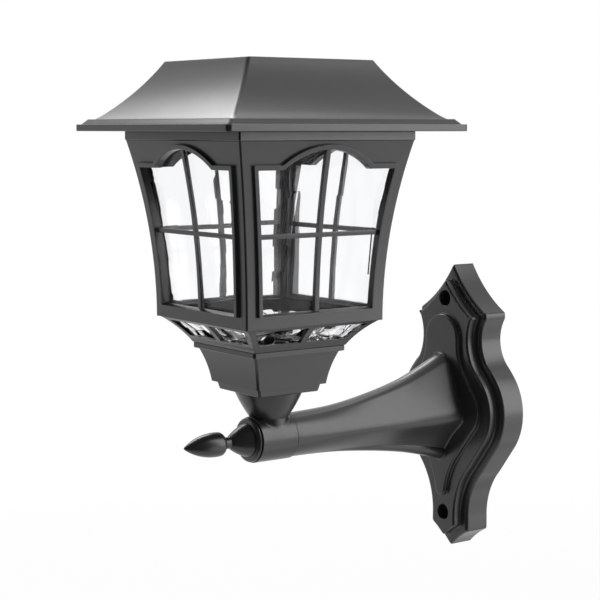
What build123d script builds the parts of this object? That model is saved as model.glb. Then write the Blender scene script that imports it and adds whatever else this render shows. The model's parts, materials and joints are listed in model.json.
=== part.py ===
from build123d import *
import os
from math import sqrt

# A black plastic solar wall lantern, in millimetres.
# X runs along the wall, +Y goes into the wall and +Z is up.
# The origin is on the wall, midway between the two wall screws.

# Where the main parts stand
lantern_reach = 158.2        # wall to the lantern's centre line
arm_axis_height = -5.2       # centre line of the round sleeve at the arm's end
foot_height = 23.0           # underside of the lantern's square foot

# Heights of the lantern's storeys, from the foot up
foot_band = 4.6
cove_rise = 19.4
rim_band = 3.3
skirt_rise = 14.9
body_rise = 102.4
collar_band = 5.0

cove_height = foot_height + foot_band
rim_height = cove_height + cove_rise
skirt_height = rim_height + rim_band
body_height = skirt_height + skirt_rise
collar_height = body_height + body_rise
eave_height = collar_height + collar_band

# Half widths of the lantern's square plan, and the steps from one to the next
body_low_half = 47.2
skirt_step = 1.6             # body's lower edge to the skirt's top edge
skirt_run = 13.8             # skirt's top edge to its lower edge, which is the rim
rim_step = 2.1               # rim to the cove's top edge
cove_run = 5.4               # cove's top edge to its lower edge
cove_step = 2.4              # cove's lower edge to the foot's top edge
foot_taper = 1.0             # foot's top edge to its underside
body_flare = 12.4            # body's lower edge to its upper edge
collar_step = 0.4
eave_overhang = 21.0         # collar to the eave's edge

skirt_half = body_low_half - skirt_step
rim_half = skirt_half - skirt_run
cove_top_half = rim_half - rim_step
cove_low_half = cove_top_half - cove_run
foot_top_half = cove_low_half - cove_step
foot_half = foot_top_half - foot_taper
body_top_half = body_low_half + body_flare
collar_half = body_top_half + collar_step
eave_half = collar_half + eave_overhang

# Walls and fits
fit_gap = 0.1                # between parts that seat on each other
slide_gap = 0.4              # around a part that is lifted out
hole_gap = 0.06              # round a screw or a stud
overrun = 5.0                # how far a cutting shape passes a face


# Planes and shapes that the sub-parts share
front_plane = Plane(origin=(0, -lantern_reach, 0), x_dir=(1, 0, 0), z_dir=(0, -1, 0))
side_plane = Plane(origin=(0, -lantern_reach, 0), x_dir=(0, 1, 0), z_dir=(1, 0, 0))
wall_plane = Plane(origin=(0, 0, 0), x_dir=(1, 0, 0), z_dir=(0, -1, 0))
lantern_axis = Axis((0, -lantern_reach, 0), (0, 0, 1))
arm_axis = Axis((0, 0, arm_axis_height), (0, 1, 0))
sides = {"front": 0, "right": 90, "rear": 180, "left": 270}

os.makedirs("parts", exist_ok=True)


def level(height):
    """Horizontal plane at a height, centred on the lantern."""
    return Plane(origin=(0, -lantern_reach, height))


def save(block, name):
    """Label a finished sub-part and write its file."""
    block.part.label = name
    export_step(block.part, f"parts/{name}.step")


def square_plan(section, half):
    """Solid of square plan, whose half width at each height is the section's."""
    with BuildPart() as solid:
        with BuildSketch(front_plane):
            add(section)
        extrude(amount=half, both=True)
        with BuildSketch(side_plane):
            add(section)
        extrude(amount=half, both=True, mode=Mode.INTERSECT)
    return solid.part


def mirrored_face(*points):
    """Face bounded by the given right-hand points and their mirror image."""
    with BuildSketch() as face:
        with BuildLine():
            Polyline(*points)
            mirror(about=Plane.YZ)
        make_face()
    return face.sketch


# Roof shell: a hollow hipped roof with a hollow-curved flank, an eave and a pocket for the panel
fascia_band = 3.9
fascia_step = 2.6            # eave's edge to the lip above the fascia
lip_slope = 2.2              # lip to the ledge
ledge_tread = 3.7            # ledge's edge to the foot of the flank
flank_run = 29.3             # foot of the flank to the flat top
ledge_rise = 6.8
roof_rise = 39.9
flank_sag = 2.0
roof_wall = 2.2
pocket_border = 6.5          # flat top's edge to the pocket
pocket_depth = 2.6
boss_radius = 4.0
tray_screw_radius = 1.5
tray_screw_reach = 8.0
lead_radius = 0.8
lead_hole_radius = 2.4
lead_hole_spot = 20.0

lip_half = eave_half - fascia_step
ledge_half = lip_half - lip_slope
flank_half = ledge_half - ledge_tread
roof_top_half = flank_half - flank_run
roof_top = eave_height + roof_rise
pocket_half = roof_top_half - pocket_border
pocket_floor = roof_top - pocket_depth
boss_spot = flank_half - roof_wall - boss_radius - fit_gap


def roof_section(inset, base, top_drop):
    """Section of the roof, drawn in by a wall, from the base line up."""
    ledge = eave_height + ledge_rise - inset
    with BuildSketch() as section:
        with BuildLine():
            low = Polyline(
                (0, base),
                (eave_half - inset, base),
                (eave_half - inset, eave_height + fascia_band - inset),
                (lip_half - inset, eave_height + fascia_band - inset),
                (ledge_half - inset, ledge),
                (flank_half - inset, ledge),
            )
            flank = SagittaArc(low @ 1, (roof_top_half - inset, roof_top - top_drop), flank_sag)
            Line(flank @ 1, (0, roof_top - top_drop))
            mirror(about=Plane.YZ)
        make_face()
    return section.sketch


roof_outer = square_plan(roof_section(0, eave_height, 0), eave_half)
roof_cavity = square_plan(
    roof_section(roof_wall, eave_height - overrun, pocket_depth + roof_wall), eave_half
)
tray_thickness = fascia_band - roof_wall

with BuildPart() as roof_shell:
    add(roof_outer)
    add(roof_cavity, mode=Mode.SUBTRACT)
    with BuildSketch(level(eave_height + tray_thickness)):
        with GridLocations(2 * boss_spot, 2 * boss_spot, 2, 2):
            Circle(boss_radius)
    extrude(until=Until.NEXT)
    with BuildSketch(level(eave_height)):
        with GridLocations(2 * boss_spot, 2 * boss_spot, 2, 2):
            Circle(tray_screw_radius + hole_gap)
    extrude(amount=tray_screw_reach, mode=Mode.SUBTRACT)
    with BuildSketch(level(pocket_floor)):
        Rectangle(2 * pocket_half, 2 * pocket_half)
    extrude(amount=pocket_depth + overrun, mode=Mode.SUBTRACT)
    with BuildSketch(level(pocket_floor - roof_wall - overrun)):
        with Locations((0, lead_hole_spot)):
            Circle(lead_hole_radius)
    extrude(amount=roof_wall + 2 * overrun, mode=Mode.SUBTRACT)
save(roof_shell, "roof_shell")

# Solar panel in the roof's pocket: seal, backing board, six cells and a clear cover
seal_width = 1.3
cell_border = 3.2            # panel's edge to its cells
panel_board_thickness = 1.2
cell_thickness = 0.3
cell_count = 6
cell_lane = 2.2              # space between two cells

panel_half = pocket_half - seal_width
cell_length = 2 * (panel_half - cell_border)
cell_width = (cell_length - (cell_count - 1) * cell_lane) / cell_count
cell_height = pocket_floor + panel_board_thickness
cover_height = cell_height + cell_thickness

with BuildPart() as panel_seal:
    with BuildSketch(level(pocket_floor)):
        Rectangle(2 * (pocket_half - fit_gap), 2 * (pocket_half - fit_gap))
        Rectangle(2 * (panel_half + fit_gap), 2 * (panel_half + fit_gap), mode=Mode.SUBTRACT)
    extrude(amount=pocket_depth)
save(panel_seal, "panel_seal")

with BuildPart() as panel_board:
    with BuildSketch(level(pocket_floor)):
        Rectangle(2 * panel_half, 2 * panel_half)
    extrude(amount=panel_board_thickness)
save(panel_board, "panel_board")

with BuildPart() as solar_cells:
    with BuildSketch(level(cell_height)):
        with GridLocations(cell_width + cell_lane, 0, cell_count, 1):
            Rectangle(cell_width, cell_length)
    extrude(amount=cell_thickness)
save(solar_cells, "solar_cells")

with BuildPart() as panel_cover:
    with BuildSketch(level(cover_height)):
        Rectangle(2 * panel_half, 2 * panel_half)
    extrude(amount=roof_top - cover_height)
save(panel_cover, "panel_cover")


# Lamp tray: the plate that closes the roof, with its plug, battery bay, posts and switch slot
plug_wall = 2.0
plug_drop = 4.0
collar_wall = 7.0
bay_wall = 1.6
bay_spot = -25.0             # bay's centre line, along Y from the lantern's centre
cell_radius = 7.1
cell_body_length = 49.3
cell_nub_radius = 2.6
cell_nub_length = 1.2
contact_thickness = 0.5
contact_half = 5.5
tab_width = 4.0
tab_rise = 3.0               # above the bay's roof
board_length = 54.0
board_width = 40.0
board_thickness = 1.6
board_spot = 12.0
post_radius = 2.6
post_rise = 5.0
post_inset = 3.4
board_screw_radius = 1.1
board_screw_head_radius = 2.1
board_screw_head = 1.3
board_screw_reach = 4.0
light_hole_radius = 10.0
switch_length = 13.0
switch_width = 6.0
switch_rise = 5.6
switch_spot = (36.0, -40.0)
knob_length = 3.0
knob_width = 3.0
knob_drop = 2.4
switch_travel = 3.0
knob_gap = 0.3
lug_thickness = 1.2
lug_width = 6.0
lug_rise = 3.0
cover_thickness = 1.6
cover_border = 2.6

tray_screw_head_radius = 2.8
tray_screw_head = 1.1

tray_screw_seat = eave_height + tray_screw_head
tray_half = eave_half - roof_wall - fit_gap
tray_top = eave_height + tray_thickness
plug_half = collar_half - collar_wall - slide_gap
cell_total = cell_body_length + cell_nub_length
bay_length = cell_total + 2 * contact_thickness + 2 * fit_gap
bay_width = 2 * (cell_radius + slide_gap)
bay_ceiling = eave_height + 2 * cell_radius + 2 * fit_gap
bay_top = bay_ceiling + bay_wall
tab_top = bay_top + tab_rise
cell_axis_height = bay_ceiling - fit_gap - cell_radius
contact_spread = cell_total + contact_thickness
post_x = board_length / 2 - post_inset
post_y = board_width / 2 - post_inset
board_height = tray_top + post_rise
knob_slot = knob_length + switch_travel + 2 * knob_gap

with BuildPart() as tray:
    with BuildSketch(level(eave_height)):
        Rectangle(2 * tray_half, 2 * tray_half)
        with GridLocations(2 * boss_spot, 2 * boss_spot, 2, 2):
            Circle(tray_screw_radius + hole_gap, mode=Mode.SUBTRACT)
    extrude(amount=tray_thickness)
    with BuildSketch(level(eave_height)):
        with GridLocations(2 * boss_spot, 2 * boss_spot, 2, 2):
            Circle(tray_screw_head_radius + hole_gap)
    extrude(amount=tray_screw_seat - eave_height, mode=Mode.SUBTRACT)
    with BuildSketch(level(eave_height - plug_drop)):
        Rectangle(2 * plug_half, 2 * plug_half)
        Rectangle(2 * (plug_half - plug_wall), 2 * (plug_half - plug_wall), mode=Mode.SUBTRACT)
    extrude(amount=plug_drop)
    with BuildSketch(level(eave_height)):
        with Locations((0, bay_spot)):
            Rectangle(bay_length + 2 * bay_wall, bay_width + 2 * bay_wall)
    extrude(amount=bay_top - eave_height)
    with BuildSketch(level(eave_height - overrun)):
        with Locations((0, bay_spot)):
            Rectangle(bay_length, bay_width)
    extrude(amount=bay_ceiling + overrun - eave_height, mode=Mode.SUBTRACT)
    with BuildSketch(level(cell_axis_height)):
        with Locations((0, bay_spot)):
            with GridLocations(contact_spread, 0, 2, 1):
                Rectangle(contact_thickness + 2 * fit_gap, tab_width + 2 * fit_gap)
    extrude(amount=tab_top - cell_axis_height, mode=Mode.SUBTRACT)
    with BuildSketch(level(tray_top)):
        with Locations((0, board_spot)):
            with GridLocations(2 * post_x, 2 * post_y, 2, 2):
                Circle(post_radius)
                Circle(board_screw_radius + hole_gap, mode=Mode.SUBTRACT)
    extrude(amount=post_rise)
    with BuildSketch(level(eave_height - overrun)):
        Circle(light_hole_radius)
        with Locations(switch_spot):
            Rectangle(knob_slot, knob_width + 2 * knob_gap)
    extrude(amount=tray_thickness + 2 * overrun, mode=Mode.SUBTRACT)
save(tray, "tray")

with BuildPart() as tray_screws:
    with BuildSketch(level(tray_screw_seat)):
        with GridLocations(2 * boss_spot, 2 * boss_spot, 2, 2):
            Circle(tray_screw_radius)
    extrude(amount=eave_height + tray_screw_reach - fit_gap - tray_screw_seat)
    with BuildSketch(level(tray_screw_seat)):
        with GridLocations(2 * boss_spot, 2 * boss_spot, 2, 2):
            Circle(tray_screw_head_radius)
    extrude(amount=-tray_screw_head)
save(tray_screws, "tray_screws")

cell_plane = Plane(
    origin=(-cell_total / 2, -lantern_reach + bay_spot, cell_axis_height),
    x_dir=(0, 1, 0),
    z_dir=(1, 0, 0),
)

with BuildPart() as battery_cell:
    with BuildSketch(cell_plane):
        Circle(cell_radius)
    extrude(amount=cell_body_length)
    with BuildSketch(cell_plane):
        Circle(cell_nub_radius)
    extrude(amount=cell_total)
save(battery_cell, "battery_cell")

with BuildPart() as battery_contacts:
    with BuildSketch(cell_plane.offset(-contact_thickness), cell_plane.offset(cell_total)):
        Rectangle(2 * contact_half, 2 * contact_half)
        Rectangle(tab_width, tab_top - cell_axis_height, align=(Align.CENTER, Align.MIN))
    extrude(amount=contact_thickness)
save(battery_contacts, "battery_contacts")

cover_length = bay_length + 2 * cover_border
cover_width = bay_width + 2 * cover_border

with BuildPart() as battery_cover:
    with BuildSketch(level(eave_height)):
        with Locations((0, bay_spot)):
            Rectangle(cover_length, cover_width)
    extrude(amount=-cover_thickness)
    with BuildSketch(level(eave_height)):
        with Locations((0, bay_spot)):
            with GridLocations(0, bay_width - 2 * fit_gap - lug_thickness, 1, 2):
                Rectangle(lug_width, lug_thickness)
    extrude(amount=lug_rise)
save(battery_cover, "battery_cover")

with BuildPart() as circuit_board:
    with BuildSketch(level(board_height)):
        with Locations((0, board_spot)):
            Rectangle(board_length, board_width)
            with GridLocations(2 * post_x, 2 * post_y, 2, 2):
                Circle(board_screw_radius + hole_gap, mode=Mode.SUBTRACT)
    extrude(amount=board_thickness)
save(circuit_board, "circuit_board")

with BuildPart() as board_screws:
    with BuildSketch(level(board_height + board_thickness)):
        with Locations((0, board_spot)):
            with GridLocations(2 * post_x, 2 * post_y, 2, 2):
                Circle(board_screw_head_radius)
    extrude(amount=board_screw_head)
    with BuildSketch(level(board_height + board_thickness)):
        with Locations((0, board_spot)):
            with GridLocations(2 * post_x, 2 * post_y, 2, 2):
                Circle(board_screw_radius)
    extrude(amount=-(board_thickness + board_screw_reach))
save(board_screws, "board_screws")

chip_length = 9.0
chip_width = 6.0
chip_rise = 1.8
coil_radius = 3.5
coil_rise = 4.0
chip_spot = (-8.0, 14.0)
coil_spot = (8.0, 14.0)
board_top = board_height + board_thickness

with BuildPart() as board_parts:
    with BuildSketch(level(board_top)):
        with Locations(chip_spot):
            Rectangle(chip_length, chip_width)
    extrude(amount=chip_rise)
    with BuildSketch(level(board_top)):
        with Locations(coil_spot):
            Circle(coil_radius)
    extrude(amount=coil_rise)
save(board_parts, "board_parts")

led_radius = 2.5
led_drop = 7.2
led_taper = 30.0             # degrees
led_ring = 5.0
led_count = 4

with BuildPart() as leds:
    with BuildSketch(level(board_height)):
        with PolarLocations(led_ring, led_count):
            Circle(led_radius)
    extrude(amount=-(led_drop - led_radius))
    with BuildSketch(level(board_height - led_drop + led_radius)):
        with PolarLocations(led_ring, led_count):
            Circle(led_radius)
    extrude(amount=-led_radius, taper=led_taper)
save(leds, "leds")

lens_radius = 13.0
lens_wall = 1.4
lens_drop = 6.0
lens_taper = 12.0            # degrees

with BuildPart() as led_lens:
    with BuildSketch(level(eave_height)):
        Circle(lens_radius)
    extrude(amount=-lens_drop, taper=lens_taper)
    with BuildSketch(level(eave_height)):
        Circle(lens_radius - lens_wall)
    extrude(amount=-(lens_drop - lens_wall), taper=lens_taper, mode=Mode.SUBTRACT)
save(led_lens, "led_lens")

with BuildPart() as switch_body:
    with BuildSketch(level(tray_top)):
        with Locations(switch_spot):
            Rectangle(switch_length, switch_width)
    extrude(amount=switch_rise)
    with BuildSketch(level(tray_top)):
        with Locations(switch_spot):
            Rectangle(knob_slot, knob_width + 2 * knob_gap)
    extrude(amount=switch_rise / 2, mode=Mode.SUBTRACT)
save(switch_body, "switch_body")

knob_top = tray_top + switch_rise / 2 - knob_gap
knob_spot = (switch_spot[0] - switch_travel / 2, switch_spot[1])

with BuildPart() as switch_slider:
    with BuildSketch(level(knob_top)):
        with Locations(knob_spot):
            Rectangle(knob_length, knob_width)
    extrude(amount=-(knob_top - eave_height + knob_drop))
save(switch_slider, "switch_slider")


# Leads: two from the panel straight down to the circuit board, and two across from the battery's tabs
lead_lane = 2.0              # between the two leads of a pair
lead_bend = 4.0
battery_lead_spot = 3.0      # where it lands on the board, along Y from the lantern's centre

lead_start_height = tab_top - tab_rise / 2
lead_start_y = bay_spot + tab_width / 2

with BuildPart() as panel_leads:
    with BuildSketch(level(board_top)):
        with Locations((0, lead_hole_spot)):
            with GridLocations(lead_lane, 0, 2, 1):
                Circle(lead_radius)
    extrude(amount=pocket_floor - board_top)
save(panel_leads, "panel_leads")

with BuildPart() as battery_leads:
    for lead_x in (-contact_spread / 2, contact_spread / 2):
        with BuildLine() as route:
            FilletPolyline(
                (lead_x, lead_start_y - lantern_reach, lead_start_height),
                (lead_x, battery_lead_spot - lantern_reach, lead_start_height),
                (lead_x, battery_lead_spot - lantern_reach, board_top),
                radius=lead_bend,
            )
        with BuildSketch(Plane(origin=route.line @ 0, z_dir=route.line % 0)):
            Circle(lead_radius)
        sweep(path=route.line)
save(battery_leads, "battery_leads")


# Top ring: the square collar under the eave, open for the tray's plug, screwed down on the frames
frame_wall = 6.0
ring_screw_radius = 1.1
ring_screw_head_radius = 2.1
ring_screw_head = 1.6
ring_screw_reach = 6.0
ring_screw_spread = 36.0
ring_screw_inset = 3.6       # collar's side to a screw's centre

ring_screw_half = collar_half - ring_screw_inset

with BuildPart() as top_ring:
    with BuildSketch(level(collar_height)):
        Rectangle(2 * collar_half, 2 * collar_half)
        Rectangle(2 * (collar_half - collar_wall), 2 * (collar_half - collar_wall), mode=Mode.SUBTRACT)
    extrude(amount=collar_band)
    with Locations(level(eave_height)):
        with GridLocations(2 * ring_screw_spread, 2 * ring_screw_half, 2, 2):
            CounterBoreHole(ring_screw_radius + hole_gap, ring_screw_head_radius + hole_gap, ring_screw_head)
        with GridLocations(2 * ring_screw_half, 2 * ring_screw_spread, 2, 2):
            CounterBoreHole(ring_screw_radius + hole_gap, ring_screw_head_radius + hole_gap, ring_screw_head)
save(top_ring, "top_ring")

with BuildPart() as ring_screws:
    with BuildSketch(level(eave_height)):
        with GridLocations(2 * ring_screw_spread, 2 * ring_screw_half, 2, 2):
            Circle(ring_screw_head_radius)
        with GridLocations(2 * ring_screw_half, 2 * ring_screw_spread, 2, 2):
            Circle(ring_screw_head_radius)
    extrude(amount=-ring_screw_head)
    with BuildSketch(level(eave_height)):
        with GridLocations(2 * ring_screw_spread, 2 * ring_screw_half, 2, 2):
            Circle(ring_screw_radius)
        with GridLocations(2 * ring_screw_half, 2 * ring_screw_spread, 2, 2):
            Circle(ring_screw_radius)
    extrude(amount=-(collar_band + ring_screw_reach - fit_gap))
save(ring_screws, "ring_screws")


# Lantern body: four mitred window frames that flare outwards as they rise, each with its pane
jamb = 9.1                   # from the body's side edge to the window's opening
sill_rise = 8.3
shoulder_drop = 15.7
apex_drop = 4.9
arch_half = 29.5
bead_rise = 2.6              # how far the moulding stands out from the frame's face
bead_side = 2.7
bead_head = 2.6
bead_sill = 1.4              # how far the moulding stops below the opening
bar_width = 3.4
rail_width = 2.7
rail_rise = 50.7             # body's lower edge to the middle of the level bar
bar_setback = 0.1
bar_depth = 3.0
pane_setback = 3.2
pane_thickness = 1.6
pane_border = 2.0
rebate_gap = 0.2

flare_radius = (body_rise ** 2 + body_flare ** 2) / (2 * body_flare)
rail_height = body_height + rail_rise
sill_height = body_height + sill_rise


def body_half_at(height, inset=0):
    """Half width of the lantern's body at a height, drawn in by an inset."""
    climb = height - body_height
    return body_low_half + flare_radius - sqrt(flare_radius ** 2 - climb ** 2) - inset


def body_section(inset):
    """Section of the flared body, drawn in by an inset."""
    middle = body_height + body_rise / 2
    with BuildSketch() as section:
        with BuildLine():
            low = Line((0, body_height), (body_half_at(body_height, inset), body_height))
            side = ThreePointArc(
                low @ 1,
                (body_half_at(middle, inset), middle),
                (body_half_at(collar_height, inset), collar_height),
            )
            Line(side @ 1, (0, collar_height))
            mirror(about=Plane.YZ)
        make_face()
    return section.sketch


def window_outline(side_grow, head_grow, sill):
    """Outline of the arched window, grown at its sides and head, above a sill's height."""
    shoulder = collar_height - shoulder_drop + head_grow
    apex = collar_height - apex_drop + head_grow
    middle = (sill + shoulder) / 2
    inset = jamb - side_grow
    arch = arch_half + head_grow / 2
    with BuildSketch() as outline:
        with BuildLine():
            low = Line((-body_half_at(sill, inset), sill), (body_half_at(sill, inset), sill))
            right = ThreePointArc(
                low @ 1, (body_half_at(middle, inset), middle), (body_half_at(shoulder, inset), shoulder)
            )
            right_ear = Line(right @ 1, (arch, shoulder))
            head = ThreePointArc(right_ear @ 1, (0, apex), (-arch, shoulder))
            left_ear = Line(head @ 1, (-body_half_at(shoulder, inset), shoulder))
            ThreePointArc(left_ear @ 1, (-body_half_at(middle, inset), middle), low @ 0)
        make_face()
    return outline.sketch


def body_solid(inset):
    """Solid body of square plan, drawn in by an inset."""
    return square_plan(body_section(inset), eave_half)


body_outer = body_solid(0)
opening = window_outline(0, 0, sill_height)
bead_outer = window_outline(bead_side, bead_head, sill_height - bead_sill)
rebate = window_outline(pane_border + rebate_gap, pane_border + rebate_gap,
                        sill_height - pane_border - rebate_gap)
pane_outline = window_outline(pane_border, pane_border, sill_height - pane_border)

with BuildPart() as bead:
    with BuildSketch(front_plane):
        add(bead_outer)
    extrude(amount=eave_half)
    add(body_solid(-bead_rise), mode=Mode.INTERSECT)

with BuildPart() as pane_seat:
    with BuildSketch(front_plane):
        add(rebate)
    extrude(amount=eave_half)
    add(body_solid(pane_setback), mode=Mode.INTERSECT)

with BuildPart() as glazing_bars:
    with BuildSketch(front_plane):
        with Locations((0, (sill_height + collar_height) / 2)):
            Rectangle(bar_width, collar_height - sill_height)
        with Locations((0, rail_height)):
            Rectangle(2 * body_top_half, rail_width)
        add(opening, mode=Mode.INTERSECT)
    extrude(amount=eave_half)
    add(body_solid(bar_setback), mode=Mode.INTERSECT)
    add(body_solid(bar_setback + bar_depth), mode=Mode.SUBTRACT)

with BuildPart() as front_frame:
    add(body_outer)
    add(bead.part)
    add(body_solid(frame_wall), mode=Mode.SUBTRACT)
    with BuildSketch(level(body_height)):
        with BuildLine():
            Polyline((0, 0), (-eave_half, -eave_half), (eave_half, -eave_half), close=True)
        make_face()
    extrude(amount=body_rise, mode=Mode.INTERSECT)
    with BuildSketch(front_plane):
        add(opening)
    extrude(amount=eave_half, mode=Mode.SUBTRACT)
    add(pane_seat.part, mode=Mode.SUBTRACT)
    add(glazing_bars.part)
    with BuildSketch(level(collar_height)):
        with Locations((0, -ring_screw_half)):
            with GridLocations(2 * ring_screw_spread, 0, 2, 1):
                Circle(ring_screw_radius + hole_gap)
    extrude(amount=-ring_screw_reach, mode=Mode.SUBTRACT)

with BuildPart() as front_pane:
    with BuildSketch(front_plane):
        add(pane_outline)
    extrude(amount=eave_half)
    add(body_solid(pane_setback + fit_gap), mode=Mode.INTERSECT)
    add(body_solid(pane_setback + fit_gap + pane_thickness), mode=Mode.SUBTRACT)

for side, angle in sides.items():
    with BuildPart() as frame:
        add(front_frame.part.rotate(lantern_axis, angle))
    save(frame, f"{side}_frame")
    with BuildPart() as pane:
        add(front_pane.part.rotate(lantern_axis, angle))
    save(pane, f"{side}_pane")


# Skirt: a cove that draws the lantern in below its windows, with two small windows on each side
skirt_wall = 3.2
skirt_sag = 1.0
flange_thickness = 1.6
tongue_rise = 4.0
tongue_wall = 1.8
skirt_head = 1.8
skirt_sill = 4.1
skirt_post = 5.4
skirt_bar = 4.0
skirt_low_half = rim_half
lens_skin = 1.4
lens_trim = 0.4              # lens's edge to the flange above it and to the cup below it
cup_wall = 2.5

frame_inner_half = body_low_half - frame_wall
tongue_half = frame_inner_half - fit_gap
flange_half = tongue_half - tongue_wall
foot_tongue_half = rim_half - cup_wall - fit_gap
foot_tongue_drop = rim_band - fit_gap
skirt_slope = (skirt_half - skirt_low_half) / skirt_rise


def skirt_section(inset):
    """Section of the skirt's cove, drawn in by an inset."""
    with BuildSketch() as section:
        with BuildLine():
            low = Line((0, skirt_height), (skirt_low_half - inset, skirt_height))
            cove = SagittaArc(low @ 1, (skirt_half - inset, body_height), skirt_sag)
            Line(cove @ 1, (0, body_height))
            mirror(about=Plane.YZ)
        make_face()
    return section.sketch


def skirt_solid(inset):
    """Solid skirt of square plan, drawn in by an inset."""
    return square_plan(skirt_section(inset), collar_half)


skirt_sill_height = skirt_height + skirt_sill
skirt_head_height = body_height - skirt_head
skirt_sill_half = skirt_low_half + skirt_slope * skirt_sill - skirt_post
skirt_head_half = skirt_low_half + skirt_slope * (skirt_rise - skirt_head) - skirt_post

with BuildSketch() as skirt_windows:
    with BuildLine():
        Polyline(
            (-skirt_sill_half, skirt_sill_height),
            (skirt_sill_half, skirt_sill_height),
            (skirt_head_half, skirt_head_height),
            (-skirt_head_half, skirt_head_height),
            close=True,
        )
    make_face()
    with Locations((0, (skirt_sill_height + skirt_head_height) / 2)):
        Rectangle(skirt_bar, skirt_rise, mode=Mode.SUBTRACT)

with BuildPart() as skirt_frame:
    add(skirt_solid(0))
    add(skirt_solid(skirt_wall), mode=Mode.SUBTRACT)
    with BuildSketch(front_plane, side_plane):
        add(skirt_windows.sketch)
    extrude(amount=collar_half, both=True, mode=Mode.SUBTRACT)
    with BuildSketch(level(body_height - flange_thickness)):
        Rectangle(2 * (skirt_half - skirt_wall), 2 * (skirt_half - skirt_wall))
        Rectangle(2 * flange_half, 2 * flange_half, mode=Mode.SUBTRACT)
    extrude(amount=flange_thickness)
    with BuildSketch(level(body_height)):
        Rectangle(2 * tongue_half, 2 * tongue_half)
        Rectangle(2 * flange_half, 2 * flange_half, mode=Mode.SUBTRACT)
    extrude(amount=tongue_rise)
    with BuildSketch(level(skirt_height - foot_tongue_drop)):
        Rectangle(2 * foot_tongue_half, 2 * foot_tongue_half)
        Rectangle(
            2 * (foot_tongue_half - tongue_wall), 2 * (foot_tongue_half - tongue_wall), mode=Mode.SUBTRACT
        )
    extrude(amount=foot_tongue_drop)
save(skirt_frame, "skirt_frame")

lens_low = skirt_height + lens_trim
lens_high = body_height - flange_thickness - lens_trim

with BuildPart() as skirt_lens:
    add(skirt_solid(skirt_wall + fit_gap))
    add(skirt_solid(skirt_wall + fit_gap + lens_skin), mode=Mode.SUBTRACT)
    with BuildSketch(level(lens_low)):
        Rectangle(2 * skirt_half, 2 * skirt_half)
    extrude(amount=lens_high - lens_low, mode=Mode.INTERSECT)
save(skirt_lens, "skirt_lens")


# Base cup: rim, cove and square foot, hollow from above, with a floor for the neck's bolt
cup_floor = 3.0
cove_sag = 0.7
bolt_radius = 4.0

floor_height = foot_height + cup_floor

with BuildSketch() as cup_section:
    with BuildLine():
        foot = Polyline(
            (0, foot_height),
            (foot_half, foot_height),
            (foot_top_half, cove_height),
            (cove_low_half, cove_height),
        )
        cove = SagittaArc(foot @ 1, (cove_top_half, rim_height), cove_sag)
        rim = Polyline(cove @ 1, (rim_half, rim_height), (rim_half, skirt_height), (0, skirt_height))
        mirror(about=Plane.YZ)
    make_face()

cup_hollow = mirrored_face(
    (0, floor_height),
    (foot_half - cup_wall, floor_height),
    (foot_top_half - cup_wall, cove_height),
    (cove_top_half - cup_wall - cove_sag, rim_height),
    (rim_half - cup_wall, rim_height),
    (rim_half - cup_wall, skirt_height),
    (0, skirt_height),
)

with BuildPart() as base_cup:
    add(square_plan(cup_section.sketch, rim_half))
    add(square_plan(cup_hollow, rim_half), mode=Mode.SUBTRACT)
    with BuildSketch(level(foot_height - overrun)):
        Circle(bolt_radius + hole_gap)
    extrude(amount=cup_floor + 2 * overrun, mode=Mode.SUBTRACT)
save(base_cup, "base_cup")


# Sleeve: the round cup at the arm's end, which carries the neck above and the finial in front
sleeve_radius = 13.5
sleeve_bore = 10.0
sleeve_front = 12.9          # in front of the lantern's centre line
sleeve_back = 12.1           # behind the lantern's centre line
sleeve_edge = 0.6
sleeve_end_wall = 3.0
neck_step = 0.9              # foot's edge to the neck's top edge
neck_waist_radius = 11.4
neck_taper_drop = 15.6
neck_sag = 0.4
stud_radius = 2.5
bolt_head_radius = 6.0
bolt_head = 3.0

sleeve_length = sleeve_front + sleeve_back
neck_radius = foot_half - neck_step


def round_plane(reach):
    """Plane across the arm's axis, at a reach from the wall, facing away from the wall."""
    return Plane(origin=(0, -reach, arm_axis_height), x_dir=(1, 0, 0), z_dir=(0, -1, 0))


with BuildPart() as sleeve_blank:
    with BuildSketch(round_plane(lantern_reach - sleeve_back)):
        Circle(sleeve_radius)
    extrude(amount=sleeve_length)
    fillet(sleeve_blank.faces().sort_by(Axis.Y)[-1].edges(), radius=sleeve_edge)

with BuildPart() as sleeve:
    add(sleeve_blank.part)
    with BuildSketch(round_plane(lantern_reach - sleeve_back - overrun)):
        Circle(sleeve_bore)
    extrude(amount=sleeve_length + overrun - sleeve_end_wall, mode=Mode.SUBTRACT)
    with BuildSketch(round_plane(lantern_reach)):
        Circle(stud_radius + hole_gap)
    extrude(amount=sleeve_front + overrun, mode=Mode.SUBTRACT)
    with BuildSketch(level(arm_axis_height)):
        Circle(bolt_radius + hole_gap)
    extrude(amount=sleeve_radius + overrun, mode=Mode.SUBTRACT)
save(sleeve, "sleeve")

neck_waist_height = foot_height - neck_taper_drop

with BuildPart() as neck:
    with BuildSketch(front_plane):
        with BuildLine():
            top = Line((0, foot_height), (neck_radius, foot_height))
            taper = SagittaArc(top @ 1, (neck_waist_radius, neck_waist_height), -neck_sag)
            Polyline(taper @ 1, (neck_waist_radius, arm_axis_height), (0, arm_axis_height), (0, foot_height))
        make_face()
    revolve(axis=lantern_axis)
    with BuildSketch(round_plane(lantern_reach - sleeve_back)):
        Circle(sleeve_radius + fit_gap)
    extrude(amount=sleeve_length + overrun, mode=Mode.SUBTRACT)
    with BuildSketch(level(arm_axis_height)):
        Circle(bolt_radius + hole_gap)
    extrude(amount=foot_height + overrun - arm_axis_height, mode=Mode.SUBTRACT)
save(neck, "neck")

washer_radius = 9.0
washer_thickness = 1.2
nut_radius = 6.5
nut_thickness = 5.0
bolt_end = 3.0               # past the nut

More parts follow.
